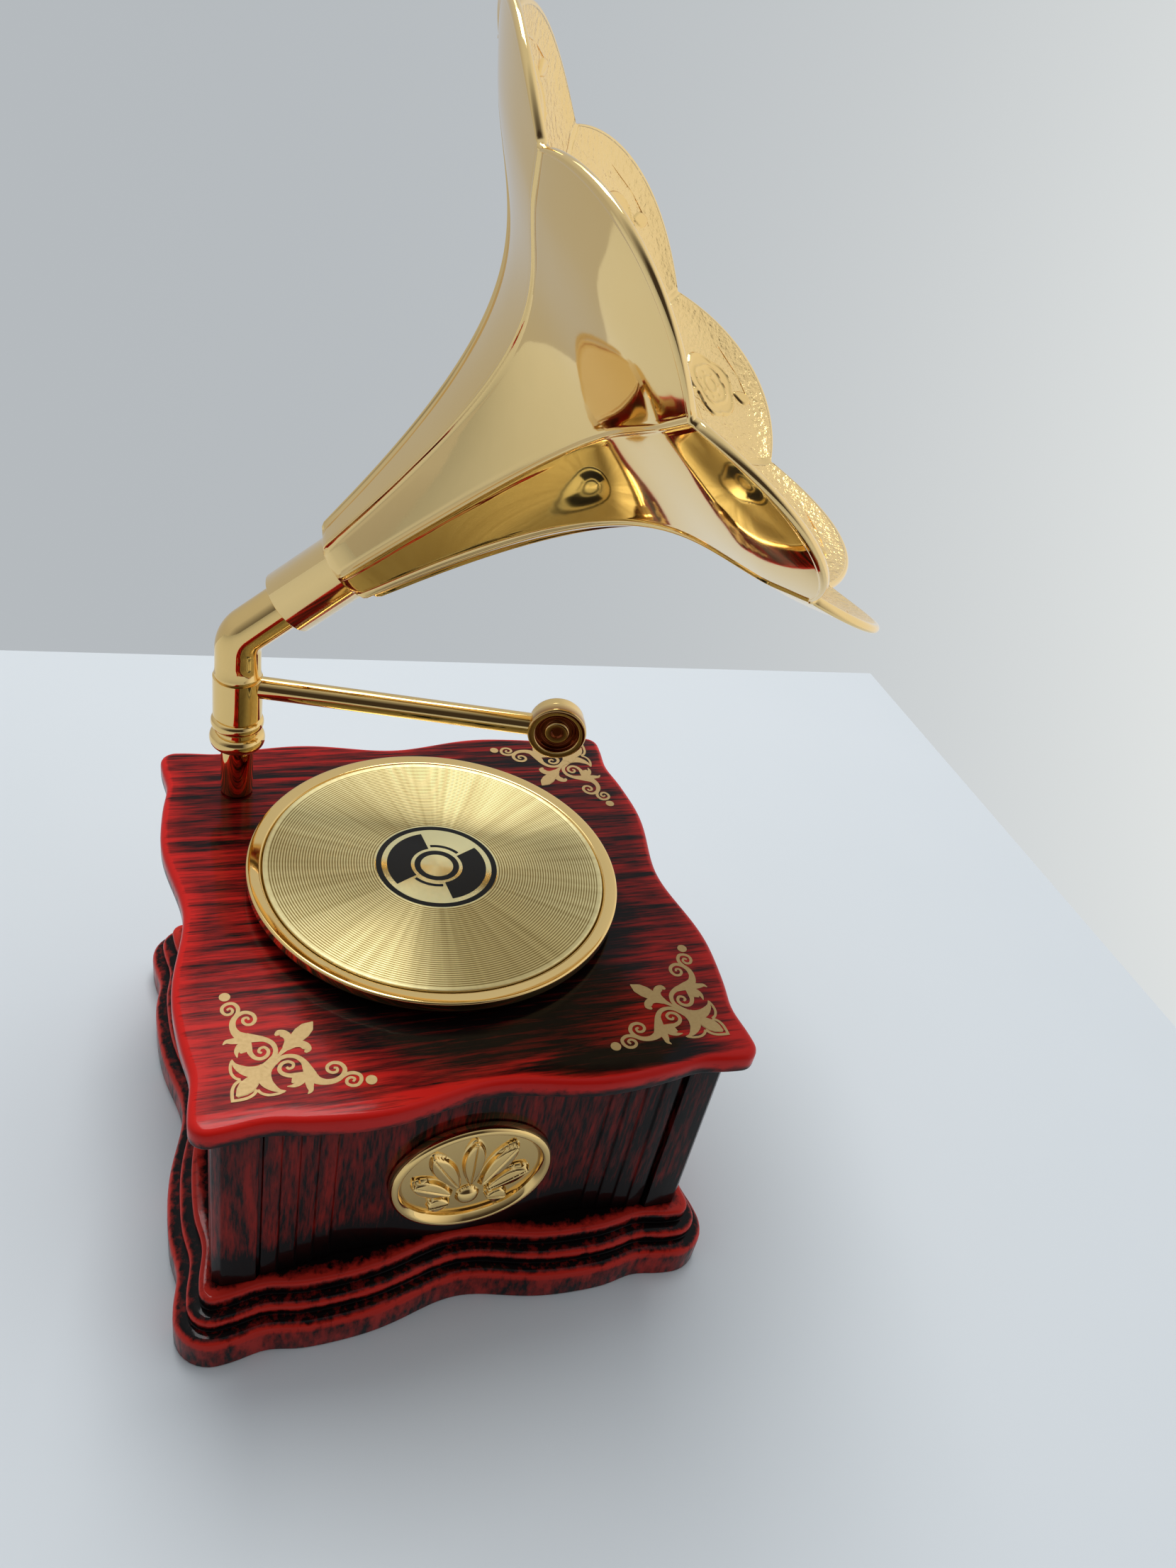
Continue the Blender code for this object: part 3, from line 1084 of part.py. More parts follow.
def build_horn(finishes, axis):
    """Sleeve over the elbow's spigot, a stepped neck and a bell of eight petals with ribs on the seams."""
    sleeve_inside = PIPE_RADIUS + RUN_GAP
    sleeve_outside = sleeve_inside + SLEEVE_WALL
    shoulder = SPIGOT_END + RUN_GAP
    rings = [round_ring(sleeve_inside, SLEEVE_START), round_ring(sleeve_outside, SLEEVE_START),
             round_ring(sleeve_outside, SLEEVE_END)]
    rings += [bell_ring(station, 0.0, True) for station in BELL_STATIONS]
    inner = [bell_ring(station, HORN_WALL, False) for station in reversed(BELL_STATIONS)]
    rings += inner + [round_ring(THROAT_RADIUS, SLEEVE_END), round_ring(THROAT_RADIUS, shoulder),
                      round_ring(sleeve_inside, shoulder)]
    add("horn", loft(rings, closed=True), finishes["gold"], axis)


def build():
    finishes = start_empty()
    build_plinth(finishes)
    build_bottom_cover(finishes)
    build_walls(finishes)
    build_lid(finishes)
    build_medallion(finishes)
    build_bedplate(finishes)
    build_spring(finishes)
    build_cylinder_bracket(finishes)
    build_comb(finishes)

    sideways = (0.0, math.radians(90), 0.0)
    turntable_axis = axis_empty("turntable_axis", (0, AXIS_Y, LID_TOP))
    cylinder_axis = axis_empty("cylinder_axis", (0, AXIS_Y, CYLINDER_Z), sideways)
    wheel_axis = axis_empty("governor_wheel_axis", (0, GOVERNOR_Y, CYLINDER_Z), sideways)
    worm_axis = axis_empty("worm_axis", (WORM_WHEEL_X, WORM_Y, CYLINDER_Z))
    elbow_axis = axis_empty("elbow_axis", (POST_X, POST_Y, LID_TOP), (0, 0, ARM_AZIMUTH))
    horn_tilt = (math.radians(90) - HORN_RISE, 0, math.radians(90))
    horn_axis = axis_empty("horn_axis", (0, 0, BEND_LIFT), horn_tilt, elbow_axis)

    build_turntable(finishes, turntable_axis)
    build_cylinder(finishes, cylinder_axis)
    build_governor(finishes, wheel_axis, worm_axis)
    build_arm(finishes, elbow_axis)
    build_horn(finishes, horn_axis)


build()
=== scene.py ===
"""Looks of a small music box in the shape of a gramophone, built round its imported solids.

Shapes are worked out in millimetres and go into their meshes in metres. The frame is the solids' own: +Z up,
the medallion at -Y, the origin under the middle of the plinth.
"""
import json
import math

import bpy
import numpy as np
from mathutils import Matrix

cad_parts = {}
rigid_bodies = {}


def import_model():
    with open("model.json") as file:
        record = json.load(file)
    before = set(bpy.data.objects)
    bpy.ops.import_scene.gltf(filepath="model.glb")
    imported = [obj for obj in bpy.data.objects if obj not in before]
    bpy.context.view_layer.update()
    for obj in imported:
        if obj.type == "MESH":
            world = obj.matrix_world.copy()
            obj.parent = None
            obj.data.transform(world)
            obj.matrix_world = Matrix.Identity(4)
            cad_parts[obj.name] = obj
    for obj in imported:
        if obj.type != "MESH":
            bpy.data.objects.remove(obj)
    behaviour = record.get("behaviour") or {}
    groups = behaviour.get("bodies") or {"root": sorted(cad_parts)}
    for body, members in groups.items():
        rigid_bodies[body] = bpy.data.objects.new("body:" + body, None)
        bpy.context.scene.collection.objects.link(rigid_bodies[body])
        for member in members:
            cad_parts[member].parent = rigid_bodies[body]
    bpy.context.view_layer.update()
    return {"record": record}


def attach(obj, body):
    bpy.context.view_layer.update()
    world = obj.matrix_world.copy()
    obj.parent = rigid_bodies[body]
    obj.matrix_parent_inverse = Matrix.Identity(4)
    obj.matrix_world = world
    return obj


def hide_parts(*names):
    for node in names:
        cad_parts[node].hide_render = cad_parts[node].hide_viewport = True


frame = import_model()

MM = 0.001

# Sizes that the solids have too, in millimetres and radians
PLINTH_TOP = 15.2
WALL_FOOT = 15.5
WALL_TOP = 62.0
LID_FOOT = 62.3
LID_TOP = 66.5
DISC_Y = 2.8
PLATTER_FOOT = 68.7
PLATTER_SEAT = 70.1
PLATTER_RADIUS = 37.2
RECORD_FOOT = 70.4
RECORD_TOP = 71.0
RECORD_RADIUS = 34.0
MEDALLION_BACK = -44.9
MEDALLION_Z = 35.4
MEDALLION_HALF = (15.8, 14.8)
POST = (-36.0, 36.3)
POST_RADIUS = 3.3
ARM_TURN = math.radians(-16.4)
ARM_LIFT = 26.9
ARM_REACH = 65.0
PIPE = 4.5
BEND_LIFT = 38.2
BEND_RADIUS = 6.5
HORN_RISE = math.radians(43.7)
HORN_NECK = (28.2, 8.6)
HORN_MOUTH = (106.1, 60.1)
PETALS = 8
SECTOR = math.tau / PETALS
SEAM_ANGLE = math.radians(37.8)
PETAL_LENGTH = 103.0
HORN_WALL = 1.2
SEAM_RIB = 0.6
NOTCH = 0.91


# Shapes


def smooth(value, low, high):
    """0 below low, 1 above high, and 3t² - 2t³ between, where t is the share of the way."""
    share = np.clip((value - low) / (high - low), 0.0, 1.0)
    return share * share * (3.0 - 2.0 * share)


def cells(values):
    """The four corners of each cell of a grid, in turn, shaped (rows - 1, columns - 1, 4, ...)."""
    return np.stack([values[:-1, :-1], values[:-1, 1:], values[1:, 1:], values[1:, :-1]], 2)


def surface(name, grids, finish, body, replaced=(), wrap=False, uv=None, marks=None, sharp=38.0):
    """One object from grids of points in millimetres, each shaped (rows, columns, 3).

    Four neighbours make a face. Columns wrap round. Rows wrap too, or else the first and the last row are
    closed by a fan round their middle. Faces are turned outwards by the sign of the enclosed volume.
    uv has one map for each grid, shaped (rows, columns + 1, 2). marks has a number for each point of a grid,
    or for each row, that the material reads under the name "mark". Edges past sharp degrees stay sharp.
    """
    blocks, faces, spots, numbers = [], [], [], []
    start = 0
    for place, grid in enumerate(grids):
        rows, columns = grid.shape[:2]
        index = np.arange(rows * columns).reshape(rows, columns)
        index = np.hstack([index, index[:, :1]])
        if wrap:
            index = np.vstack([index, index[:1]])
        quads = cells(index).reshape(-1, 4)
        block = grid.reshape(-1, 3)
        fans = np.zeros((0, 3), int)
        if not wrap:
            block = np.vstack([block, grid[[0, -1]].mean(1)])
            first, last = index[0], index[-1]
            low = np.stack([first[1:], first[:-1], np.full(columns, rows * columns)], -1)
            high = np.stack([last[:-1], last[1:], np.full(columns, rows * columns + 1)], -1)
            fans = np.vstack([low, high])
        local = block - block.mean(0)
        a, b, c = local[np.vstack([quads[:, :3], quads[:, [0, 2, 3]], fans]).T]
        inward = np.einsum("ij,ij->", a, np.cross(b, c)) < 0
        if inward:
            quads, fans = quads[:, ::-1], fans[:, ::-1]
        blocks.append(block)
        faces += (quads + start).tolist() + (fans + start).tolist()
        if uv is not None:
            flat = cells(uv[place]).reshape(-1, 4, 2)
            spots += [(flat[:, ::-1] if inward else flat).reshape(-1, 2), np.zeros((len(fans) * 3, 2))]
        if marks is not None:
            values = np.broadcast_to(marks[place], (rows, columns))
            ends = [] if wrap else [values[0].mean(), values[-1].mean()]
            numbers.append(np.concatenate([values.ravel(), ends]))
        start += len(block)
    mesh = bpy.data.meshes.new(name)
    mesh.from_pydata((np.vstack(blocks) * MM).tolist(), [], faces)
    if uv is not None:
        layer = mesh.uv_layers.new(name="surface")
        layer.data.foreach_set("uv", np.vstack(spots).astype(np.float32).ravel())
    if marks is not None:
        layer = mesh.attributes.new("mark", "FLOAT", "POINT")
        layer.data.foreach_set("value", np.concatenate(numbers).astype(np.float32))
    mesh.shade_smooth()
    mesh.set_sharp_from_angle(angle=math.radians(sharp))
    mesh.materials.append(finish)
    piece = bpy.data.objects.new(name, mesh)
    bpy.context.scene.collection.objects.link(piece)
    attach(piece, body)
    if replaced:
        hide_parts(*replaced)


def eased(corners, reach, steps=5, most=0.48):
    """An open line through corners (n, 2). It leaves each inner corner P by its reach on both sides, at A and
    B, or by the share most of a short stretch, and joins them by the parabola (1-t)²A + 2t(1-t)P + t²B."""
    corners = np.asarray(corners, float)
    reach = np.broadcast_to(np.asarray(reach, float), len(corners) - 2)[:, None]
    middle, ends = corners[1:-1], []
    for way in (corners[:-2] - middle, corners[2:] - middle):
        length = np.linalg.norm(way, axis=1, keepdims=True)
        ends.append((middle + way / length * np.minimum(reach, most * length))[:, None])
    t = np.linspace(0, 1, steps + 1)[None, :, None]
    arcs = (1 - t) ** 2 * ends[0] + 2 * t * (1 - t) * middle[:, None] + t ** 2 * ends[1]
    return np.vstack([corners[:1], arcs.reshape(-1, 2), corners[-1:]])


def lathe(profile, columns):
    """Turn (radius, height) points round Z: (r cos a, r sin a, h) for each angle a."""
    profile = np.asarray(profile, float)
    angle = np.linspace(0, math.tau, columns, endpoint=False)
    radius, height = profile[:, :1], profile[:, 1:]
    return np.stack([radius * np.cos(angle), radius * np.sin(angle), height + 0 * angle], -1)


def turn_map(rows, columns):
    """UV of a lathe: the share of the turn, and the share of the rows."""
    share = np.linspace(0, 1, columns + 1)[None, :]
    return np.stack(np.broadcast_arrays(share, np.linspace(0, 1, rows)[:, None]), -1)


def bell(place, centre, run):
    """exp(-((place - centre) / run)²), a hump that is 1 at its centre."""
    return np.exp(-((place - centre) / run) ** 2)


def all_round(side):
    """A side (..., points, 2) and its three quarter turns (x, y) -> (-y, x), one after another."""
    sides = [side]
    for _ in range(3):
        sides.append(np.stack([-sides[-1][..., 1], sides[-1][..., 0]], -1))
    return np.concatenate(sides, -2)


# A wavy side: where its swells stand, how far a swell and a nick reach, and the points on it and on a corner
SWELL_AT, SWELL_RUN, NICK_RUN = 21.0, 10.0, 5.0
SIDE_POINTS, CORNER_POINTS = 97, 9


def wavy_square(half, corner, insets, waist=0.0, waist_run=1.0, swell=0.0, nick=0.0, nick_at=0.0):
    """Outlines of a wavy square, one for each inset, shaped (insets, columns, 2).

    On a side, at place s, the outline stands at half - inset - waist·bell(s, 0) + swell·bell(|s|, SWELL_AT)
    - nick·bell(|s|, nick_at). Corners are quarter circles, no tighter than 0.3 of the outer one, which take
    up what the bells leave at the end of a side by the squares of cosine and sine.
    """
    inset = np.atleast_1d(np.asarray(insets, float))[:, None]
    radius = np.maximum(corner - inset, corner * 0.3)
    reach = half - inset - radius

    def stand(place):
        away = np.abs(place)
        return (half - inset - waist * bell(place, 0.0, waist_run) + swell * bell(away, SWELL_AT, SWELL_RUN)
                - nick * bell(away, nick_at, NICK_RUN))

    along = reach * np.linspace(-1, 1, SIDE_POINTS)
    side = np.stack([along, -stand(along)], -1)
    turn = math.radians(90) * np.arange(1, CORNER_POINTS) / CORNER_POINTS
    short = half - inset - stand(reach)
    bend = np.stack([reach + radius * np.sin(turn) - short * np.sin(turn) ** 2,
                     -reach - radius * np.cos(turn) + short * np.cos(turn) ** 2], -1)
    return all_round(np.concatenate([side, bend], 1))


def stacked(outlines, heights):
    """Outlines (rows, columns, 2) with a height for each row."""
    heights = np.broadcast_to(np.asarray(heights, float)[:, None, None], (*outlines.shape[:2], 1))
    return np.concatenate([outlines, heights], -1)


def curve_through(points, steps=8):
    """A smooth line through points. On each span it is ½(2P1 + (P2-P0)t + (2P0-5P1+4P2-P3)t²
    + (3P1-P0-3P2+P3)t³)."""
    points = np.asarray(points, float)
    framed = np.vstack([2 * points[:1] - points[1:2], points, 2 * points[-1:] - points[-2:-1]])
    p0, p1, p2, p3 = (framed[k:len(framed) - 3 + k, None] for k in range(4))
    t = np.linspace(0, 1, steps, endpoint=False)[None, :, None]
    spans = 0.5 * (2 * p1 + (p2 - p0) * t + (2 * p0 - 5 * p1 + 4 * p2 - p3) * t ** 2
                   + (3 * p1 - p0 - 3 * p2 + p3) * t ** 3)
    return np.vstack([spans.reshape(-1, points.shape[1]), points[-1:]])


def along_plane_path(places, headings, radii, columns):
    """Circles of the given radii round the places (forward, up), square to the headings, angles from up
    towards forward: place + r (cos a · across + sin a · side)."""
    places, headings = np.asarray(places, float), np.asarray(headings, float)[:, None]
    angle = np.linspace(0, math.tau, columns, endpoint=False)[None, :]
    radii = np.asarray(radii, float)[:, None]
    across = radii * np.cos(angle)
    return np.stack([places[:, :1] + across * np.cos(headings), radii * np.sin(angle),
                     places[:, 1:] - across * np.sin(headings)], -1)


def on_arm(points):
    """From the swivel's (forward, side, up) to the case's frame: turned by ARM_TURN and moved to the post."""
    forward, side, up = points[..., 0], points[..., 1], points[..., 2]
    cos, sin = math.cos(ARM_TURN), math.sin(ARM_TURN)
    return np.stack([POST[0] + forward * cos - side * sin, POST[1] + forward * sin + side * cos,
                     LID_TOP + up], -1)


# The horn's own axes: out along it, level across it, and square to both. They start where the pipe bends.
HORN_AXIS = np.array([math.cos(HORN_RISE) * math.cos(ARM_TURN), math.cos(HORN_RISE) * math.sin(ARM_TURN),
                      math.sin(HORN_RISE)])
HORN_SIDE = np.array([-math.sin(ARM_TURN), math.cos(ARM_TURN), 0.0])
HORN_UP = np.cross(HORN_AXIS, HORN_SIDE)
HORN_ROOT = np.array([POST[0], POST[1], LID_TOP + BEND_LIFT])


def on_horn(along, radius, angle):
    """From the horn's (along, radius, angle) to the case's frame:
    root + along·axis + radius·(cos·side + sin·up)."""
    along, radius, angle = (value[..., None] for value in np.broadcast_arrays(along, radius, angle))
    return HORN_ROOT + along * HORN_AXIS + radius * (np.cos(angle) * HORN_SIDE + np.sin(angle) * HORN_UP)


# Finishes


def linear(colour):
    """sRGB hex to linear colour: v/12.92 in the darks, and ((v + 0.055)/1.055)^2.4 above them."""
    values = np.array([int(colour[place:place + 2], 16) for place in (1, 3, 5)]) / 255
    values = np.where(values <= 0.04045, values / 12.92, ((values + 0.055) / 1.055) ** 2.4)
    return (*values.tolist(), 1.0)


def put(tree, kind, inputs=None, **settings):
    """Add a node. Its inputs, by name or number, take values or other nodes' outputs."""
    made = tree.nodes.new(kind)
    for name, value in settings.items():
        setattr(made, name, value)
    for key, value in (inputs or {}).items():
        if isinstance(value, bpy.types.NodeSocket):
            tree.links.new(value, made.inputs[key])
        else:
            made.inputs[key].default_value = value
    if not made.outputs:
        return made
    return made.outputs[2] if kind == "ShaderNodeMix" else made.outputs[0]


def finish_of(name, links, **fixed):
    """A material: fixed values go on the shader's own sockets, and links(tree) gives the ones that vary."""
    made = bpy.data.materials.new(name)
    made.use_nodes = True
    tree = made.node_tree
    shader = tree.nodes["Principled BSDF"]
    for key, value in fixed.items():
        shader.inputs[key.replace("_", " ")].default_value = value
    for key, value in links(tree).items():
        tree.links.new(value, shader.inputs[key])
    return made


# Painted shade: where its mark is -1 the plating turns this dark brown, for the shade and dark reflections on
# the sound box's face
PAINTED_SHADE_BROWN = "#7C3D22"


def gold_plate(name, colours, sand=(0.0, 0.0)):
    """Vacuum-plated plastic: a warm mirror, hazed in patches of 14 mm, whose reflections waver over a skin
    that swells every 6 mm. Where the surface's mark is 1 the mould was sanded: a leathery grain of 1.1 mm
    breaks the mirror up. sand is the grain's depth in millimetres and the roughness it adds. Where the mark
    is -1 the plating is painted dark brown: painted shade and dark reflection, as on the sound box's face.
    """
    def links(tree):
        place = tree.nodes.new("ShaderNodeTexCoord").outputs["Object"]
        mark = put(tree, "ShaderNodeAttribute", attribute_name="mark").node.outputs["Fac"]
        haze = put(tree, "ShaderNodeTexNoise", {"Vector": place, "Scale": 70.0, "Detail": 4.0})
        spread = put(tree, "ShaderNodeMapRange", {0: haze, 1: 0.3, 2: 0.7, 3: 0.03, 4: 0.09})
        rough = put(tree, "ShaderNodeMath", {0: mark, 1: sand[1], 2: spread}, operation="MULTIPLY_ADD")
        tint = put(tree, "ShaderNodeMix", {0: haze, 6: linear(colours[0]), 7: linear(colours[1])},
                   data_type="RGBA")
        # Painted shade: a mark of -1 turns the gold dark brown
        painted_shade = put(tree, "ShaderNodeMath", {0: mark, 1: -1.0}, operation="MULTIPLY")
        tint = put(tree, "ShaderNodeMix", {0: painted_shade, 6: tint, 7: linear(PAINTED_SHADE_BROWN)}, data_type="RGBA")
        swell = put(tree, "ShaderNodeTexNoise", {"Vector": place, "Scale": 1000 / 6.0, "Detail": 2.0})
        skin = put(tree, "ShaderNodeBump", {"Height": swell, "Distance": 0.012 * MM})
        grain = put(tree, "ShaderNodeTexNoise", {"Vector": place, "Scale": 1000 / 1.1, "Detail": 3.0})
        depth = put(tree, "ShaderNodeMath", {0: grain, 1: mark}, operation="MULTIPLY")
        leathery = put(tree, "ShaderNodeBump", {"Height": depth, "Distance": sand[0] * MM, "Normal": skin})
        return {"Base Color": tint, "Roughness": rough, "Normal": leathery}
    return finish_of(name, links, Metallic=1.0)


def grooved_foil(name, colours):
    """Foil pressed over turned rings: the rings are in the shape, and at the bottom, where the mark is 1,
    they take a darker colour, a painted shade that draws them.
    Light spreads out across them, and faint rays, 110 to the turn, run from the centre. Where the mark is -1
    it is a mirror."""
    def links(tree):
        place = tree.nodes.new("ShaderNodeTexCoord").outputs["UV"]
        turn = put(tree, "ShaderNodeMapping", {"Vector": place, "Scale": (110.0, 0.6, 1.0)})
        rays = put(tree, "ShaderNodeTexNoise", {"Vector": turn, "Scale": 1.0, "Detail": 3.0})
        groove = put(tree, "ShaderNodeAttribute", attribute_name="mark").node.outputs["Fac"]
        # Painted shade: the groove bottoms take the darker colour
        painted_groove_shade = put(tree, "ShaderNodeMath", {0: rays, 1: 0.5, 2: groove}, operation="MULTIPLY_ADD")
        painted_groove_shade = put(tree, "ShaderNodeMapRange", {0: painted_groove_shade, 1: 0.2, 2: 1.2})
        tint = put(tree, "ShaderNodeMix", {0: painted_groove_shade, 6: linear(colours[0]), 7: linear(colours[1])},
                   data_type="RGBA")
        spread = put(tree, "ShaderNodeMapRange", {0: rays, 1: 0.3, 2: 0.7, 3: 0.41, 4: 0.53})
        ringed = put(tree, "ShaderNodeMapRange", {0: groove, 1: -1.0, 2: 0.0, 3: 0.35, 4: 1.0})
        spread = put(tree, "ShaderNodeMath", {0: spread, 1: ringed}, operation="MULTIPLY")
        way = put(tree, "ShaderNodeTangent", direction_type="UV_MAP", uv_map="surface")
        return {"Base Color": tint, "Roughness": spread, "Tangent": way}
    return finish_of(name, links, Metallic=1.0, Anisotropic=0.78, Anisotropic_Rotation=0.25)


# What the wash leaves where it isn't wiped off
WASH_BLACK = "#0B0606"


def lacquer(name, stretch, soot, reds):
    """Brushed two-colour lacquer under a clear coat: red shows where the black wash was wiped off in streaks.

    stretch is how many streaks there are in a metre along each axis, soot(tree) how much black a place keeps,
    from 0 to 1, from the black wash and from painted shade, and reds are the red under much black and the one
    under none. Where streaks and that black add up to 0.76 the black begins, and at 1.07 it covers.
    """
    def links(tree):
        place = tree.nodes.new("ShaderNodeTexCoord").outputs["Object"]
        streak = put(tree, "ShaderNodeMapping", {"Vector": place, "Scale": stretch})
        fine = put(tree, "ShaderNodeTexNoise", {"Vector": streak, "Scale": 1.0, "Detail": 5.0,
                                                "Roughness": 0.62})
        wide = put(tree, "ShaderNodeTexNoise", {"Vector": streak, "Scale": 0.27, "Detail": 2.0})
        part = put(tree, "ShaderNodeMath", {0: wide, 1: 0.55}, operation="MULTIPLY")
        mixed = put(tree, "ShaderNodeMath", {0: fine, 1: part}, operation="ADD")
        # Black from the wash and from painted shade
        amount = soot(tree)
        kept = put(tree, "ShaderNodeMath", {0: mixed, 1: amount}, operation="ADD")
        black = put(tree, "ShaderNodeMapRange", {0: kept, 1: 0.76, 2: 1.07})
        deep = put(tree, "ShaderNodeMath", {0: amount, 1: 2.6, 2: wide}, operation="MULTIPLY_ADD")
        deep = put(tree, "ShaderNodeMapRange", {0: deep, 1: 0.5, 2: 1.1})
        red = put(tree, "ShaderNodeMix", {0: deep, 6: linear(reds[1]), 7: linear(reds[0])}, data_type="RGBA")
        colour = put(tree, "ShaderNodeMix", {0: black, 6: red, 7: linear(WASH_BLACK)}, data_type="RGBA")
        matt = put(tree, "ShaderNodeMapRange", {0: fine, 1: 0.3, 2: 0.7, 3: 0.28, 4: 0.42})
        ripple = put(tree, "ShaderNodeBump", {"Height": mixed, "Distance": 0.02 * MM, "Strength": 0.5})
        skin = put(tree, "ShaderNodeTexNoise", {"Vector": place, "Scale": 260.0, "Detail": 1.0})
        flow = put(tree, "ShaderNodeBump", {"Height": skin, "Distance": 0.03 * MM, "Normal": ripple})
        return {"Base Color": colour, "Roughness": matt, "Normal": ripple, "Coat Normal": flow}
    return finish_of(name, links, Specular_IOR_Level=0.03, Coat_Weight=0.42, Coat_IOR=1.33,
                     Coat_Roughness=0.05)


# Black patches before the platter, black wash that also paints the platter's shadow, and at the lid's front
# edge,
# black wash: middle in metres, scale of the way out, where on that way the patch starts and ends to fade, and
# how much black it adds
LID_WASH_AND_SHADOW_PATCHES = (((0.002, -0.014, 0.0), (24.0, 24.0, 0.0), 0.60, 0.92, 0.25),
               ((0.026, -0.0475, 0.0), (62.0, 300.0, 0.0), 0.7, 1.3, 0.26))


def lid_soot(tree):
    """Ever more streaks from the front left to the back, clean red on the edge's worn round, which is also a
    painted highlight, and more black below it, a painted shade, and on top of that each patch, by the length
    of (place - middle)·scale; the patch before the platter also paints the platter's shadow."""
    place = tree.nodes.new("ShaderNodeTexCoord").outputs["Object"]
    lean = put(tree, "ShaderNodeVectorMath", {0: place, 1: (0.25, 1.0, 0.0)}, operation="DOT_PRODUCT")
    lean = lean.node.outputs["Value"]
    lean = put(tree, "ShaderNodeMapRange", {0: lean, 1: -0.065, 2: 0.055, 3: 0.04, 4: 0.21})
    # The edge's mark: 1 on its upper round, wear and a painted highlight, and -0.5 below it, painted shade
    edge = put(tree, "ShaderNodeAttribute", attribute_name="mark").node.outputs["Fac"]
    amount = put(tree, "ShaderNodeMath", {0: edge, 1: -0.3, 2: lean}, operation="MULTIPLY_ADD")
    # The first patch is black wash that also paints the platter's shadow before it; the second is black wash
    # at the front edge
    for middle, scale, start, end, most in LID_WASH_AND_SHADOW_PATCHES:
        off = put(tree, "ShaderNodeVectorMath", {0: place, 1: middle}, operation="SUBTRACT")
        sized = put(tree, "ShaderNodeVectorMath", {0: off, 1: scale}, operation="MULTIPLY")
        away = put(tree, "ShaderNodeVectorMath", {0: sized}, operation="LENGTH").node.outputs["Value"]
        patch = put(tree, "ShaderNodeMapRange", {0: away, 1: start, 2: end, 3: most, 4: 0.0})
        amount = put(tree, "ShaderNodeMath", {0: amount, 1: patch}, operation="ADD")
    return amount


def marked_soot(tree):
    """As much black as the surface's own mark says."""
    return put(tree, "ShaderNodeAttribute", attribute_name="mark").node.outputs["Fac"]


def plain_finish(name, colours, rough, grain_mm, depth_mm, stretch=(1.0, 1.0, 1.0), **fixed):
    """A finish whose colour, roughness and skin follow one noise, stretched along the tool's way."""
    def links(tree):
        place = tree.nodes.new("ShaderNodeTexCoord").outputs["Object"]
        place = put(tree, "ShaderNodeMapping", {"Vector": place, "Scale": stretch})
        grain = put(tree, "ShaderNodeTexNoise", {"Vector": place, "Scale": 1000 / grain_mm, "Detail": 4.0})
        tint = put(tree, "ShaderNodeMix", {0: grain, 6: linear(colours[0]), 7: linear(colours[1])},
                   data_type="RGBA")
        spread = put(tree, "ShaderNodeMapRange", {0: grain, 1: 0.3, 2: 0.7, 3: rough[0], 4: rough[1]})
        skin = put(tree, "ShaderNodeBump", {"Height": grain, "Distance": depth_mm * MM})
        return {"Base Color": tint, "Roughness": spread, "Normal": skin}
    return finish_of(name, links, **fixed)


# Vacuum-plated ABS, polished mould: a bright warm mirror with a faint waver
POLISHED_GOLD = gold_plate("polished gold plating", ("#F1CE8C", "#EDC981"))
# The same plating where the horn's inside was sanded: a leathery grain that scatters the light
SANDED_GOLD = gold_plate("sanded gold plating", ("#F4D496", "#F0CE8C"), (0.36, 0.2))
# Gold foil over rings that were turned in the mould: light smears out across the rings in wedges, and the
# rings' bottoms are painted darker, a painted shade
GROOVED_FOIL = grooved_foil("grooved gold foil", ("#F0E3AC", "#8A7238"))
# Hot-stamped gold on the lid: thin, half matt, tan where it turns from the light
GOLD_INK = plain_finish("gold hot-stamping foil", ("#C0A26C", "#B2935C"), (0.42, 0.55), 0.6, 0.004,
                        Metallic=0.3)
# Screen-printed ink on the label: flat black that barely shines
BLACK_INK = plain_finish("black screen ink", ("#0A0908", "#141210"), (0.30, 0.45), 0.3, 0.003,
                         Specular_IOR_Level=0.2)
# Lid: streaks run along X, about half a millimetre wide and several long
LID_LACQUER = lacquer("brushed lid lacquer", (130.0, 2100.0, 700.0), lid_soot, ("#5A0F0D", "#C41D17"))
# Walls: the same lacquer wiped down the sides
WALL_LACQUER = lacquer("brushed wall lacquer", (1700.0, 1700.0, 200.0), marked_soot, ("#641210", "#98190F"))
# Plinth: black stays in the coves and the beads are wiped red, and on top of that the coves carry painted
# shade and the beads' edges a painted highlight
PLINTH_LACQUER = lacquer("wiped plinth lacquer", (700.0, 700.0, 240.0), marked_soot, ("#8A1A15", "#BC2A20"))
# Screws and arbors: turned, then zinc plated, so fine rings and a cool grey
STEEL = plain_finish("zinc-plated steel", ("#8C9094", "#B4B6B8"), (0.22, 0.38), 0.8, 0.01, (1.0, 6.0, 1.0),
                     Metallic=1.0)
# Gears and the pinned cylinder: cut on a lathe, yellow and bright
BRASS = plain_finish("turned brass", ("#B98F45", "#D6AE62"), (0.20, 0.34), 0.7, 0.008, (5.0, 1.0, 1.0),
                     Metallic=1.0)
# Bedplate and comb base: as cast, dull with a fine orange peel
ZINC = plain_finish("die-cast zinc", ("#77797C", "#929497"), (0.38, 0.55), 0.5, 0.02, Metallic=1.0)
# Bottom cover: spark-eroded mould, an even black haze
BLACK_PLASTIC = plain_finish("moulded black polystyrene", ("#141313", "#1E1D1D"), (0.38, 0.5), 0.3, 0.015)
# Hub and air brake: waxy and a little see-through
WHITE_PLASTIC = plain_finish("moulded white acetal", ("#E4E2DA", "#EFEDE6"), (0.32, 0.42), 0.6, 0.008,
                             Subsurface_Weight=0.1)

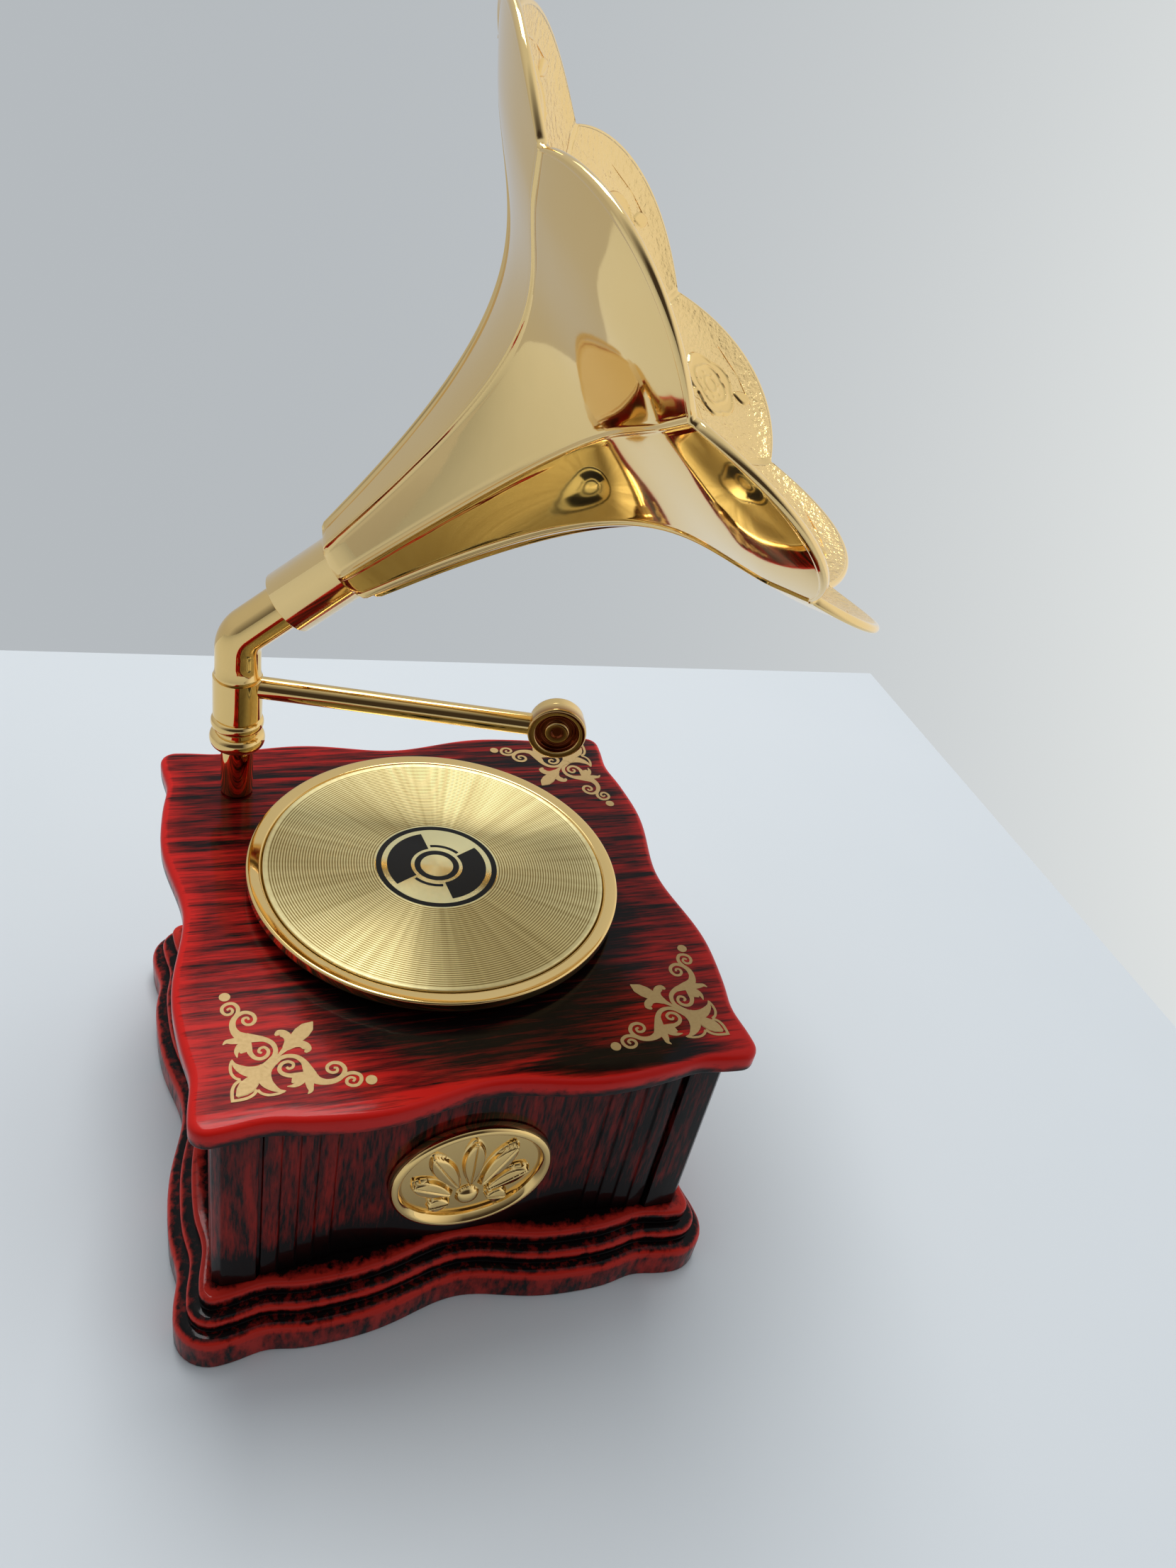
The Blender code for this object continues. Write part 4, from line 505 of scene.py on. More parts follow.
# Solids that keep their own mesh take their slot's finish
SLOT_FINISH = {"steel": STEEL, "brass": BRASS, "cast_zinc": ZINC, "black_plastic": BLACK_PLASTIC,
               "white_plastic": WHITE_PLASTIC, "gold": POLISHED_GOLD, "gold_foil": GROOVED_FOIL,
               "lacquer": WALL_LACQUER}
for part in frame["record"]["subparts"]:
    for held in bpy.data.objects[part["node"]].material_slots:
        held.material = SLOT_FINISH[part["material_slot"]]


# Plinth, walls and lid


def build_plinth():
    """Foot, bead and step: a profile carried round a wavy square, with a hollow under the deck.

    A row in a cove keeps its black, by a bell over its height, and a row on a bead's edge loses it: black
    wash, with painted shade in the coves and by the walls' foot, and a painted highlight on the beads' edges.
    """
    wave = dict(half=54.5, corner=7.5, waist=4.3, waist_run=13.0, nick=1.2, nick_at=38.0)
    inset, height = eased(
        [(4.0, 0.0), (0.0, 0.0), (0.0, 8.0), (3.0, 8.1), (2.5, 8.9), (2.5, 11.4), (5.3, 11.5), (4.8, 12.3),
         (4.8, PLINTH_TOP), (8.0, PLINTH_TOP)], (0.5, 2.2, 0.5, 0.35, 1.7, 0.5, 0.35, 0.9)).T
    outside = stacked(wavy_square(insets=inset, **wave), height)
    deck = stacked(wavy_square(insets=[9.0, 16.0], **wave), [PLINTH_TOP, PLINTH_TOP])
    hollow = np.concatenate([stacked(wavy_square(half, 6.0, [0.0]), [rise]) for half, rise in
                             ((43.8, 12.9), (43.8, 2.9), (47.5, 2.9), (47.5, 0.0))])
    # Painted shade in the coves and on the deck by the walls' foot, painted highlight on the beads' edges,
    # over the black wash
    cove = np.maximum(bell(height, 8.7, 0.75), bell(height, 12.0, 0.75))
    cove = np.maximum(cove, 0.75 * smooth(inset, 6.5, 8.0) * (height > 15))
    edge = bell(height, 7.2, 0.9) + bell(height, 10.9, 0.7) + bell(height, 14.9, 0.5)
    soot = np.concatenate([np.full(len(hollow), 0.4), 0.16 + 0.55 * cove - 0.30 * edge, [0.6, 0.8]])
    surface("plinth_shell", [np.concatenate([hollow, outside, deck])], PLINTH_LACQUER, "case",
            ["plinth"], marks=[soot[:, None]])


def build_walls():
    """The case wall: a plain panel, four stepped flutes, a groove and a pilaster at either end of each side.

    Black is heaviest at the foot, where it fades over 10 mm, with a little under the lid and to the right:
    black wash, with painted shade at the foot and the lid's shadow painted under it.
    """
    panel, face, pitch, step, thick = 25.5, 44.6, 3.3, 0.45, 2.6
    half, out = [(panel, face)], face
    for flute in range(4):
        start = panel + flute * pitch
        if flute:
            half.append((start, out))
        out += step
        half.append((start + 0.35, out))
    half += [(38.7, out), (38.7, out - 0.9), (39.5, out - 0.9), (39.5, 47.3), (45.8, 47.3)]
    half = np.array(half)
    outline = all_round(np.vstack([half[::-1] * (-1, -1), half * (1, -1)]))
    ring = eased(np.vstack([outline[-1:], outline, outline[:1]]), 0.22, 3)[1:-1]
    height = np.concatenate([WALL_FOOT + np.linspace(0, WALL_TOP - WALL_FOOT, 26), [WALL_TOP, WALL_FOOT]])
    deep = np.concatenate([np.zeros(26), [thick, thick]])
    # Painted shade at the foot and a painted shadow under the lid's overhang, over the black wash; more black
    # to the right
    soot = 0.14 + 0.50 * (1 - smooth(height, 17.0, 27.0)) + 0.12 * smooth(height, 52.0, 62.0)
    soot = soot[:, None] + 0.10 * smooth(ring[:, 0], -5.0, 40.0)
    surface("fluted_walls", [stacked(ring * (1 - deep / face)[:, None, None], height)], WALL_LACQUER, "case",
            ["case_walls"], wrap=True, marks=[soot], sharp=30.0)


def build_lid():
    """A wavy board with a rounded upper edge. Its mark is 1 on the edge's worn round, wear and a painted
    highlight, and -0.5 below it, painted shade.
    """
    wave = dict(half=51.0, corner=3.3, waist=2.0, waist_run=11.0, swell=1.1, nick=0.9, nick_at=39.0)
    profile = eased([(9.0, LID_FOOT), (5.0, LID_FOOT), (0.0, LID_FOOT), (0.0, LID_TOP), (5.0, LID_TOP),
                     (9.0, LID_TOP)], (0.5, 0.5, 1.5, 0.5), 7)
    inset, height = np.vstack([profile, [(12.0, LID_TOP)]]).T
    # Painted light on the edge: the worn upper round is lighter, wear and a painted highlight, and the lower
    # half darker, painted shade
    worn_and_painted_light = (1 - smooth(inset, 0.1, 2.2)) * (1.5 * smooth(height, LID_FOOT + 1.6, LID_FOOT + 3.2) - 0.5)
    surface("lid_board", [stacked(wavy_square(insets=inset, **wave), height)], LID_LACQUER, "case",
            ["lid"], marks=[worn_and_painted_light[:, None]])


# Corner ornaments and label

# Ink stands this high, and each piece of an ornament a hair higher than the one before it
INK, HAIR = 0.02, 0.003


def ribbon(points, widths, height):
    """A flat strip along a curve through points: centre ± half the width times the normal, from the ground up
    to height. The widths pass through the given values in even steps."""
    line = curve_through(points)
    way = np.gradient(line, axis=0)
    normal = np.stack([-way[:, 1], way[:, 0]], -1) / np.linalg.norm(way, axis=1, keepdims=True)
    half = np.interp(np.linspace(0, 1, len(line)), np.linspace(0, 1, len(widths)), widths)[:, None] / 2
    left, right = line + normal * half, line - normal * half
    low, high = np.zeros((len(line), 1)), np.full((len(line), 1), height)
    return np.stack([np.hstack([left, low]), np.hstack([right, low]), np.hstack([right, high]),
                     np.hstack([left, high])], 1)


# Half of a corner's scrollwork on the lid, seen from its corner: centre line points and widths across, in
# millimetres along the lid's two edges. The other half is its mirror image in the diagonal.
SCROLLS = (
    (((2.2, 18.2), (2.75, 19.2), (2.75, 20.3), (2.1, 21.2), (1.1, 21.25), (0.25, 20.6), (0.15, 19.6),
      (0.7, 18.85), (1.5, 18.9), (1.9, 19.6), (1.5, 20.2), (0.95, 19.85)),
     (0.6, 0.7, 0.7, 0.65, 0.65, 0.6, 0.6, 0.55, 0.55, 0.5, 0.45, 0.4)),
    (((3.4, 13.2), (2.2, 14.1), (1.6, 15.6), (1.75, 17.2), (2.6, 18.4), (3.9, 18.9), (5.1, 18.3),
      (5.45, 17.1), (4.9, 16.15), (4.0, 16.05), (3.4, 16.7), (3.5, 17.5), (4.2, 17.65), (4.4, 17.1)),
     (2.0, 1.6, 1.15, 1.0, 0.85, 0.75, 0.7, 0.65, 0.6, 0.55, 0.55, 0.5, 0.45, 0.4)),
    (((2.6, 13.4), (3.6, 13.1), (5.0, 12.8), (6.5, 12.35), (7.7, 11.3), (8.1, 9.9), (7.8, 8.6), (7.0, 7.4),
      (6.2, 6.2)), (1.0, 2.2, 1.6, 1.05, 0.9, 0.8, 0.85, 1.3, 2.2)),
    (((3.5, 12.3), (3.8, 10.9), (3.95, 9.7), (4.6, 8.6), (5.6, 8.25), (6.6, 8.8), (6.9, 9.8), (6.35, 10.6),
      (5.6, 10.45), (5.35, 9.8), (5.8, 9.45)), (1.7, 1.1, 0.85, 0.75, 0.7, 0.65, 0.6, 0.55, 0.5, 0.5, 0.45)),
    (((3.6, 12.8), (2.3, 12.8), (1.2, 12.75), (0.3, 12.75), (-0.35, 12.2)), (1.8, 1.6, 1.2, 0.8, 0.15)),
    (((3.5, 12.0), (2.4, 11.3), (1.75, 10.3), (1.75, 9.1)), (1.5, 1.4, 0.8, 0.15)),
    (((3.8, 11.4), (3.1, 10.6), (2.3, 10.0)), (1.3, 1.2, 0.4)),
    (((7.5, 7.5), (8.6, 8.6), (9.6, 9.6), (10.7, 10.7), (11.8, 11.9), (12.8, 12.9), (13.9, 14.0),
      (15.0, 15.0)), (0.5, 0.55, 1.0, 2.0, 2.3, 2.7, 2.2, 0.2)),
    (((9.7, 10.0), (10.35, 11.4), (10.3, 12.5), (9.7, 13.15), (9.0, 13.35), (8.35, 12.9)),
     (0.9, 1.2, 1.5, 1.6, 1.3, 0.4)),
    (((0.85, 8.8), (1.15, 7.7), (2.0, 6.7), (3.2, 5.9), (4.8, 5.6), (6.2, 6.0)),
     (0.15, 0.7, 1.5, 2.1, 2.5, 2.4)),
    (((6.2, 6.2), (5.2, 5.2), (4.3, 4.3), (3.6, 3.5), (2.8, 2.7), (1.9, 1.8), (1.1, 0.95)),
     (2.4, 2.8, 2.0, 2.4, 2.8, 2.0, 0.3)),
    (((0.8, 8.6), (0.5, 7.4), (0.5, 6.0), (1.0, 4.95), (1.8, 4.35)), (0.35, 0.5, 0.5, 0.5, 0.55)),
    (((1.9, 4.3), (1.0, 3.65), (0.45, 2.6), (0.27, 1.3), (0.27, 0.02)), (0.55, 0.55, 0.55, 0.55, 0.55)),
)
# The dot past the end of the scrolls
DOT, DOT_RADIUS = (0.8, 22.9), 0.98


def build_corner(name, origin, turn_x, turn_y):
    """Scrolls and dots in one corner of the lid, each a hair higher than the last so that none coincide."""
    grids, height = [], INK
    for mirrored in (False, True):
        for points, widths in SCROLLS:
            points = np.array(points)
            grids.append(ribbon(points[:, ::-1] if mirrored else points, widths, height))
            height += HAIR
        centre = DOT[::-1] if mirrored else DOT
        grids.append(lathe([(DOT_RADIUS, 0.0), (DOT_RADIUS, height)], 24) + (*centre, 0.0))
        height += HAIR
    grids = [grid * (turn_x, turn_y, 1.0) + (*origin, LID_TOP) for grid in grids]
    surface(name, grids, GOLD_INK, "case")


def arc_print(inner, outer, start, end):
    """A flat arc of ink on the record between two radii and two angles in degrees: (r cos a, r sin a)."""
    angle = np.radians(np.linspace(start, end, max(8, int(abs(end - start) / 3))))[:, None]
    radius = np.array([[inner, outer, outer, inner]])
    lift = np.array([[0.0, 0.0, INK, INK]]) + 0 * angle
    return np.stack([radius * np.cos(angle), radius * np.sin(angle), lift], -1) + (0.0, DISC_Y, RECORD_TOP)


def build_label():
    """Rings and bare blocks printed on the middle of the record. A ring's ends meet."""
    rings = [arc_print(11.1, 12.2, 0, 357), arc_print(3.3, 4.5, 0, 357)]
    blocks = [arc_print(5.2, 10.0, 97, 207), arc_print(5.2, 10.0, -84, 27), arc_print(5.6, 6.3, 33, 91),
              arc_print(5.6, 6.3, 213, 270)]
    surface("label_rings", rings, BLACK_INK, "turntable", wrap=True)
    surface("label_blocks", blocks, BLACK_INK, "turntable")


# Medallion

# Where the fan's leaves meet, below the middle of the plate
FAN_FOOT = -6.6


def leaf_rise(u, v, angle, length, width=4.4, start=3.4, foot=FAN_FOOT):
    """How high a leaf stands at (u, v): a rounded lobe with a fine vein, half as wide as
    width/2·sin(pi a^1.3)^0.65 at the share a of its length."""
    turn = math.radians(angle)
    along = (u * math.cos(turn) + (v - foot) * math.sin(turn) - start) / length
    across = np.abs(-u * math.sin(turn) + (v - foot) * math.cos(turn))
    half = width / 2 * np.sin(math.pi * np.clip(along, 0.001, 0.999) ** 1.3) ** 0.65
    inside = smooth(half - across, -0.05, 0.45) * ((along > 0) & (along < 1))
    crown = 0.75 + 0.25 * (1 - np.clip(across / np.maximum(half, 0.05), 0, 1))
    return inside * crown * (1 - 0.3 * bell(across, 0, 0.16))


def build_medallion():
    """An oval plate. Its height over (u, v) is a rim 1.1·sqrt(1 - |x|^2.6), x running from -1 to 1 across
    it, a sunk field, and on that the highest of a fan of leaves and a ball at their foot."""
    share = np.concatenate([np.linspace(0.004, 0.8, 84), np.linspace(0.805, 1.0, 32)])
    angle = np.linspace(0, math.tau, 288, endpoint=False)
    u = MEDALLION_HALF[0] * share[:, None] * np.cos(angle)
    v = MEDALLION_HALF[1] * share[:, None] * np.sin(angle)
    crest, ball = 1.2, 2.3
    from_edge = (1 - share)[:, None] * sum(MEDALLION_HALF) / 2 + 0 * angle
    rim = 1.1 * np.sqrt(np.clip(1 - np.clip(np.abs(from_edge - crest) / crest, 0, 1) ** 2.6, 0, 1))
    relief = np.clip(1 - (u ** 2 + (v - FAN_FOOT) ** 2) / ball ** 2, 0, 1) ** 0.5
    for leaf_angle, length in ((90, 13.6), (60, 13.2), (120, 13.2), (29, 9.8), (151, 9.8), (-9, 4.6),
                               (189, 4.6)):
        relief = np.maximum(relief, leaf_rise(u, v, leaf_angle, length))
    field = np.where(from_edge < crest, 1.0, 1.0 - 0.6 * smooth(from_edge, crest, 2.3))
    height = field + rim * (from_edge < 2 * crest) + 1.45 * relief * (from_edge > crest)
    top = np.stack([u, MEDALLION_BACK - height, v + MEDALLION_Z], -1)
    ends = np.stack([u[-1], np.full(len(angle), MEDALLION_BACK), v[-1] + MEDALLION_Z], -1)
    surface("medallion_plate", [np.concatenate([top, ends[None]])], POLISHED_GOLD, "case",
            ["medallion"], sharp=60.0)


# Turntable, post and arm


def build_turntable():
    """Platter with a dished lip, and a disc whose grooves are depth·(½ - ½cos(2πx/pitch))^1.5 deep at x."""
    profile = eased([(0.5, PLATTER_FOOT), (PLATTER_RADIUS, PLATTER_FOOT), (PLATTER_RADIUS, 71.1),
                     (34.5, 70.92), (34.15, 70.35), (33.0, PLATTER_SEAT), (0.5, PLATTER_SEAT)],
                    (0.7, 0.6, 0.3, 0.15, 0.2), 5)
    centre = np.array([0.0, DISC_Y, 0.0])
    surface("platter_dish", [lathe(profile, 256) + centre], POLISHED_GOLD, "turntable", ["platter"])
    pitch, depth, start, end = 0.53, 0.025, 12.5, 33.2
    rings = np.arange(start, end, pitch / 8)
    cut = (0.5 - 0.5 * np.cos(math.tau * (rings - start) / pitch)) ** 1.5
    edge = [(0.4, RECORD_FOOT), (33.8, RECORD_FOOT), (RECORD_RADIUS, 70.55), (RECORD_RADIUS, RECORD_TOP),
            (33.86, RECORD_TOP + 0.12), (33.6, RECORD_TOP + 0.15), (33.35, RECORD_TOP + 0.05)]
    profile = np.vstack([edge, np.column_stack([rings, RECORD_TOP - depth * cut])[::-1],
                         [(12.4, RECORD_TOP), (0.5, RECORD_TOP)]])
    grid = lathe(profile, 192) + centre
    # The groove bottoms' mark, which the foil paints darker as painted shade; -1 on the bare middle
    painted_groove_shade = np.concatenate([np.zeros(len(edge)), cut[::-1], [-1.0, -1.0]])
    surface("record_rings", [grid], GROOVED_FOIL, "turntable", ["record_disc"],
            uv=[turn_map(*grid.shape[:2])], marks=[painted_groove_shade[:, None]])


def build_post():
    """A plain pillar with eased ends."""
    profile = eased([(0.2, 66.8), (POST_RADIUS, 66.8), (POST_RADIUS, 89.5), (0.2, 89.5)], (0.3, 0.4), 4)
    surface("pillar", [lathe(profile, 64) + np.array([*POST, 0.0])], POLISHED_GOLD, "case", ["post"])


def build_elbow():
    """The bent pipe: straight up through two bulges, a collar and a band, round the bend and along the horn's
    spigot, with a bore at either end.

    A bulge of height h and swell s adds s·sqrt(1 - (2x/h)²) to the radius at x from its middle.
    """
    turn = math.radians(90) - HORN_RISE
    tangent = BEND_RADIUS * math.tan(turn / 2)
    lift = np.concatenate([np.linspace(12.5, 15.9, 15), [16.5], np.linspace(16.9, 19.5, 13),
                           [19.8, 20.0, 20.2, 24.0, 28.8, 29.0, 29.1, 29.35, 29.9, 30.15, 33.0,
                            BEND_LIFT - tangent - 0.1]])
    radius = PIPE + 1.1 * np.sqrt(np.clip(1 - ((lift - 14.2) / 1.7) ** 2, 0, 1))
    radius += 0.8 * np.sqrt(np.clip(1 - ((lift - 18.2) / 1.3) ** 2, 0, 1))
    radius += 0.4 * ((lift >= 20.0) & (lift <= 29.0)) + 0.12 * ((lift > 29.2) & (lift < 30.0))
    straight = np.column_stack([0 * lift, lift])
    sweep = np.linspace(0, turn, 17)
    bend = np.column_stack([BEND_RADIUS * (1 - np.cos(sweep)),
                            BEND_LIFT - tangent + BEND_RADIUS * np.sin(sweep)])
    out = np.array([tangent + 1.0, 13.0, 20.0, 23.7, 24.0, 24.0, 14.0])
    spigot = np.array([0.0, BEND_LIFT]) + out[:, None] * (math.cos(HORN_RISE), math.sin(HORN_RISE))
    places = np.vstack([[(0.0, 23.3), (0.0, 12.5)], straight, bend, spigot])
    headings = np.concatenate([np.zeros(2 + len(lift)), sweep, np.full(len(out), turn)])
    radii = np.concatenate([[3.6, 3.6], radius, np.full(len(sweep) + 4, PIPE), [4.2, 3.2, 3.2]])
    grid = on_arm(along_plane_path(places, headings, radii, 72))
    surface("elbow_tube", [grid], POLISHED_GOLD, "elbow", ["elbow_pipe"])


def sound_box_part(profile):
    """Turn (radius, rise) points round the sound box's own level axis, which points to the front."""
    return on_arm(lathe(profile, 96)[..., [0, 2, 1]] * (1, -1, 1) + (ARM_REACH, 0.0, ARM_LIFT))


def build_tone_arm():
    """The rod and the sound box at its end. Its face has a mark of -1, painted shade that turns the gold dark
    brown, which a bell round each edge of the ring and of the boss brings back to 0."""
    forward = np.array([2.2, 2.4, 20.0, 40.0, 59.8, 60.0])
    rod = along_plane_path(np.column_stack([forward, 0 * forward + ARM_LIFT]),
                           np.full(len(forward), math.radians(90)), [2.1, 2.3, 2.3, 2.3, 2.3, 2.1], 48)
    surface("arm_rod", [on_arm(rod)], POLISHED_GOLD, "elbow", ["tone_arm_rod"])
    back = eased([(0.2, -2.65), (5.8, -2.65), (5.8, -0.15), (0.2, -0.15)], (0.7, 0.15))
    surface("sound_box_shell", [sound_box_part(back)], POLISHED_GOLD, "elbow", ["sound_box_back"])
    front = eased([(0.2, 0.15), (6.1, 0.15), (6.1, 2.65), (4.6, 2.65), (4.6, 1.45), (3.9, 1.45), (3.75, 1.7),
                   (3.3, 1.7), (3.15, 1.45), (2.5, 1.45), (2.5, 2.15), (1.2, 2.15), (1.0, 1.85), (0.2, 1.85)],
                  (0.15, 0.5, 0.25, 0.2, 0.1, 0.1, 0.1, 0.1, 0.12, 0.3, 0.1, 0.1), 4)
    bright = sum(bell(np.hypot(*(front - corner).T), 0.0, 0.42)
                 for corner in ((6.1, 2.65), (4.6, 2.65), (2.5, 2.15)))
    # Painted shade on the face, lifted at the edges of the ring and the boss
    painted_shade = -np.clip(1 - bright, 0, 1) * (front[:, 1] > 1.2)
    surface("sound_box_ring", [sound_box_part(front)], POLISHED_GOLD, "elbow", ["sound_box_front"],
            marks=[painted_shade[:, None]])


# Horn

# How far and how steeply the seam's ridge leaves the neck, and how far and how steeply it comes to the mouth
NECK_PULL, NECK_SLOPE = 74.0, math.radians(9.6)
MOUTH_PULL, MOUTH_SLOPE = 34.5, math.radians(45.2)
# The rim's bead: half its thickness, its step outside and what it adds to the wall inside, in millimetres,
# the share of a petal's length that its round takes up, and how much of a seam's rib is left on it
BEAD_HALF, BEAD_STEP, BEAD_SWELL = 0.8, 0.3, 0.4
BEAD_SHARE, BEAD_RIB = 0.0078, 0.55
# How far the rim is drawn in, which keeps its bead inside the solid
RIM_TRIM = 0.2


def bell_curve(share):
    """Place (along, radius) and unit normal on the ridge of a seam, a cubic curve from neck A to mouth D:
    (1-t)³A + 3t(1-t)²B + 3t²(1-t)C + t³D, where B lies a pull past A and C a pull before D."""
    start, end = np.array(HORN_NECK), np.array(HORN_MOUTH)
    first = start + NECK_PULL * np.array([math.cos(NECK_SLOPE), math.sin(NECK_SLOPE)])
    second = end - MOUTH_PULL * np.array([math.cos(MOUTH_SLOPE), math.sin(MOUTH_SLOPE)])
    t = share[..., None]
    place = (1 - t) ** 3 * start + 3 * t * (1 - t) ** 2 * first + 3 * t ** 2 * (1 - t) * second + t ** 3 * end
    slope = (1 - t) ** 2 * (first - start) + 2 * t * (1 - t) * (second - first) + t ** 2 * (end - second)
    normal = np.stack([-slope[..., 1], slope[..., 0]], -1)
    return place, normal / np.linalg.norm(normal, axis=-1, keepdims=True)


def bell_points(station, depth, across, petal, rib=0.0):
    """Points of the bell at stations from neck (0) to rim (1), sunk by depth under the outside.

    across runs from -1 to 1 between two seams. The share of the curve is
    station·(1 - (1 - NOTCH)·across²·station³), so that the rim arches past the seams. The section is an
    octagon at the neck and a circle at the rim, and rib stands on it.
    """
    share = station * (1 - (1 - NOTCH) * across ** 2 * station ** 3)
    place, normal = bell_curve(share)
    place = place - normal * depth[..., None]
    flat = np.cos(SECTOR / 2) / np.cos(across * SECTOR / 2)
    radius = (place[..., 1] - SEAM_RIB) * (station + (1 - station) * flat) + rib - RIM_TRIM * station ** 4
    return on_horn(place[..., 0], radius, SEAM_ANGLE + SECTOR * (petal + (across + 1) / 2))


def build_horn():
    """Sleeve, step and bell, in rows from the sleeve's mouth out to the rim and back inside.

    A rib stands on each seam outside, SEAM_RIB·(1 - smooth(d)) high at d from the seam, with a shallow groove
    beside it. A bead runs round the rim: a half round at the lip, a step down to the petal outside, and
    inside a wall that thickens towards it over 6 mm. The inside is sanded but for a border at the seams and
    the rim.
    """
    half = np.concatenate([np.linspace(0, 0.08, 7)[:-1], np.linspace(0.08, 1.0, 18)]) - 1.0
    across = np.concatenate([half, -half[::-1][1:-1]])
    petal = np.repeat(np.arange(PETALS), len(across))
    across = np.tile(across, PETALS)[None, :]

    def away_from_seam(stations):
        return (1 - np.abs(across)) * SECTOR / 2 * bell_curve(stations)[0][..., 1]

    def rows(stations, depths, ribbed):
        stations, depths = np.asarray(stations, float)[:, None], np.asarray(depths, float)[:, None]
        away = away_from_seam(stations)
        rib = (SEAM_RIB * (1 - smooth(away, 0.2, 0.55)) - 0.10 * bell(away, 1.0, 0.22)) * ribbed
        return bell_points(stations + 0 * across, depths + 0 * across, across + 0 * stations, petal, rib)

    def circles(*sizes):
        angle = SEAM_ANGLE + SECTOR * (petal + (across[0] + 1) / 2)
        return np.array([on_horn(along, radius, angle) for along, radius in sizes])

    outside = np.linspace(0, 1, 64)[1:-2] ** 0.9
    outside = np.concatenate([outside, 1 - np.linspace(0.0195, 0.0085, 9)])
    from_rim = PETAL_LENGTH * (1 - outside)
    step = smooth(from_rim, 1.2, 1.7)
    turn = np.linspace(0, math.pi, 11)
    inner_wall = HORN_WALL + BEAD_SWELL * (1 - smooth(from_rim, 1.0, 7.0))
    before = np.concatenate([
        circles((13.2, 4.8), (13.0, 5.0), (13.0, 6.2), (13.2, 6.4), (26.9, 6.4), (27.0, 6.5)),
        rows([0.0, 0.004], [0.35, 0.05], 1.0),
        rows(outside, BEAD_STEP * step * (1 - smooth(from_rim, 6.0, 18.0)),
             BEAD_RIB + (1 - BEAD_RIB) * step[:, None]),
        rows(1 - BEAD_SHARE * (1 - np.sin(turn)), BEAD_HALF * (1 - np.cos(turn)), BEAD_RIB)])
    inside = rows(outside[::-1], inner_wall[::-1], 0.0)
    after = np.concatenate([rows([0.0], [HORN_WALL], 0.0), circles((27.0, 3.4), (24.3, 3.4), (24.3, 4.8))])
    grid = np.concatenate([before, inside, after])
    station = outside[::-1, None]
    sanded = np.zeros(grid.shape[:2])
    sanded[len(before):-len(after)] = (smooth(away_from_seam(station), 0.7, 1.1)
                                       * smooth(1 - station, 0.008, 0.012))
    surface("horn_bell", [grid], SANDED_GOLD, "horn", ["horn"], wrap=True, marks=[sanded], sharp=50.0)


# How far in from the rim the blossom's eye stands
EYE = 16.5


def flower_rise(u, v):
    """Height over a petal's inside, u across and v in from the rim: a blossom of two wavy rings of petals, at
    7.4 + 0.9·|cos 2.5a| and 4.3 + 0.7·|sin 2a| from its eye, dots round the eye, a stem and three leaves."""
    away, turn = np.hypot(u, v - EYE), np.arctan2(v - EYE, u)
    outer = 7.4 + 0.9 * np.abs(np.cos(2.5 * turn + 0.4))
    inner = 4.3 + 0.7 * np.abs(np.sin(2.0 * turn))
    rise = 0.30 * smooth(outer - away, 0.0, 0.5) + 0.24 * bell(away, outer - 0.7, 0.3) * (away < outer)
    rise += 0.26 * bell(away, inner, 0.3) + 0.22 * bell(away, 1.9, 0.3)
    for number in range(7):
        place = math.tau * number / 7
        rise += 0.3 * bell(np.hypot(u - 3.1 * math.cos(place), v - EYE - 3.1 * math.sin(place)), 0.0, 0.28)
    for place, angle, length, width in (((1.0, 25.0), 32, 10.5, 4.6), ((-0.6, 27.0), 150, 10.0, 4.2),
                                        ((-3.0, 10.0), -128, 6.0, 3.2)):
        rise = np.maximum(rise, 0.55 * leaf_rise(u - place[0], v - place[1], angle, length, width, 0.0, 0.0))
    stem = bell(u, 0.6 * np.sin((v - 24.0) / 4.0), 0.5) * smooth(v, 22.0, 24.0) * (1 - smooth(v, 38.0, 40.0))
    return np.maximum(rise, 0.45 * stem)


def build_petal_flowers():
    """The blossom inside each petal, polished where the ground round it is sanded. It is a thin skin that
    lies hidden in the wall, just under its face, and comes out only where it rises."""
    across, inward = np.linspace(-11.5, 11.5, 78), np.linspace(4.5, 40.5, 116)
    hidden, back = 0.12, 0.4
    u, v = np.meshgrid(np.concatenate([across, across[[-1, 0]]]), inward)
    depth = HORN_WALL - hidden + flower_rise(u, v)
    depth[:, -2:] = back
    station = 1 - v / PETAL_LENGTH
    half = SECTOR / 2 * bell_curve(station)[0][..., 1]
    surface("petal_flowers", [bell_points(station, depth, u / half, petal) for petal in range(PETALS)],
            POLISHED_GOLD, "horn", sharp=60.0)


build_plinth()
build_walls()
build_lid()
build_corner("front_left_scrolls", (-44.0, -45.5), 1, 1)
build_corner("front_right_scrolls", (46.4, -45.4), -1, 1)
build_corner("back_right_scrolls", (46.8, 47.4), -1, -1)
build_label()
build_medallion()
build_turntable()
build_post()
build_elbow()
build_tone_arm()
build_horn()
build_petal_flowers()


# Studio


def plane(name, corners, finish):
    """A flat stage surface through four corners in metres."""
    mesh = bpy.data.meshes.new(name)
    mesh.from_pydata(corners, [], [(0, 1, 2, 3)])
    mesh.materials.append(finish)
    made = bpy.data.objects.new(name, mesh)
    bpy.context.scene.collection.objects.link(made)


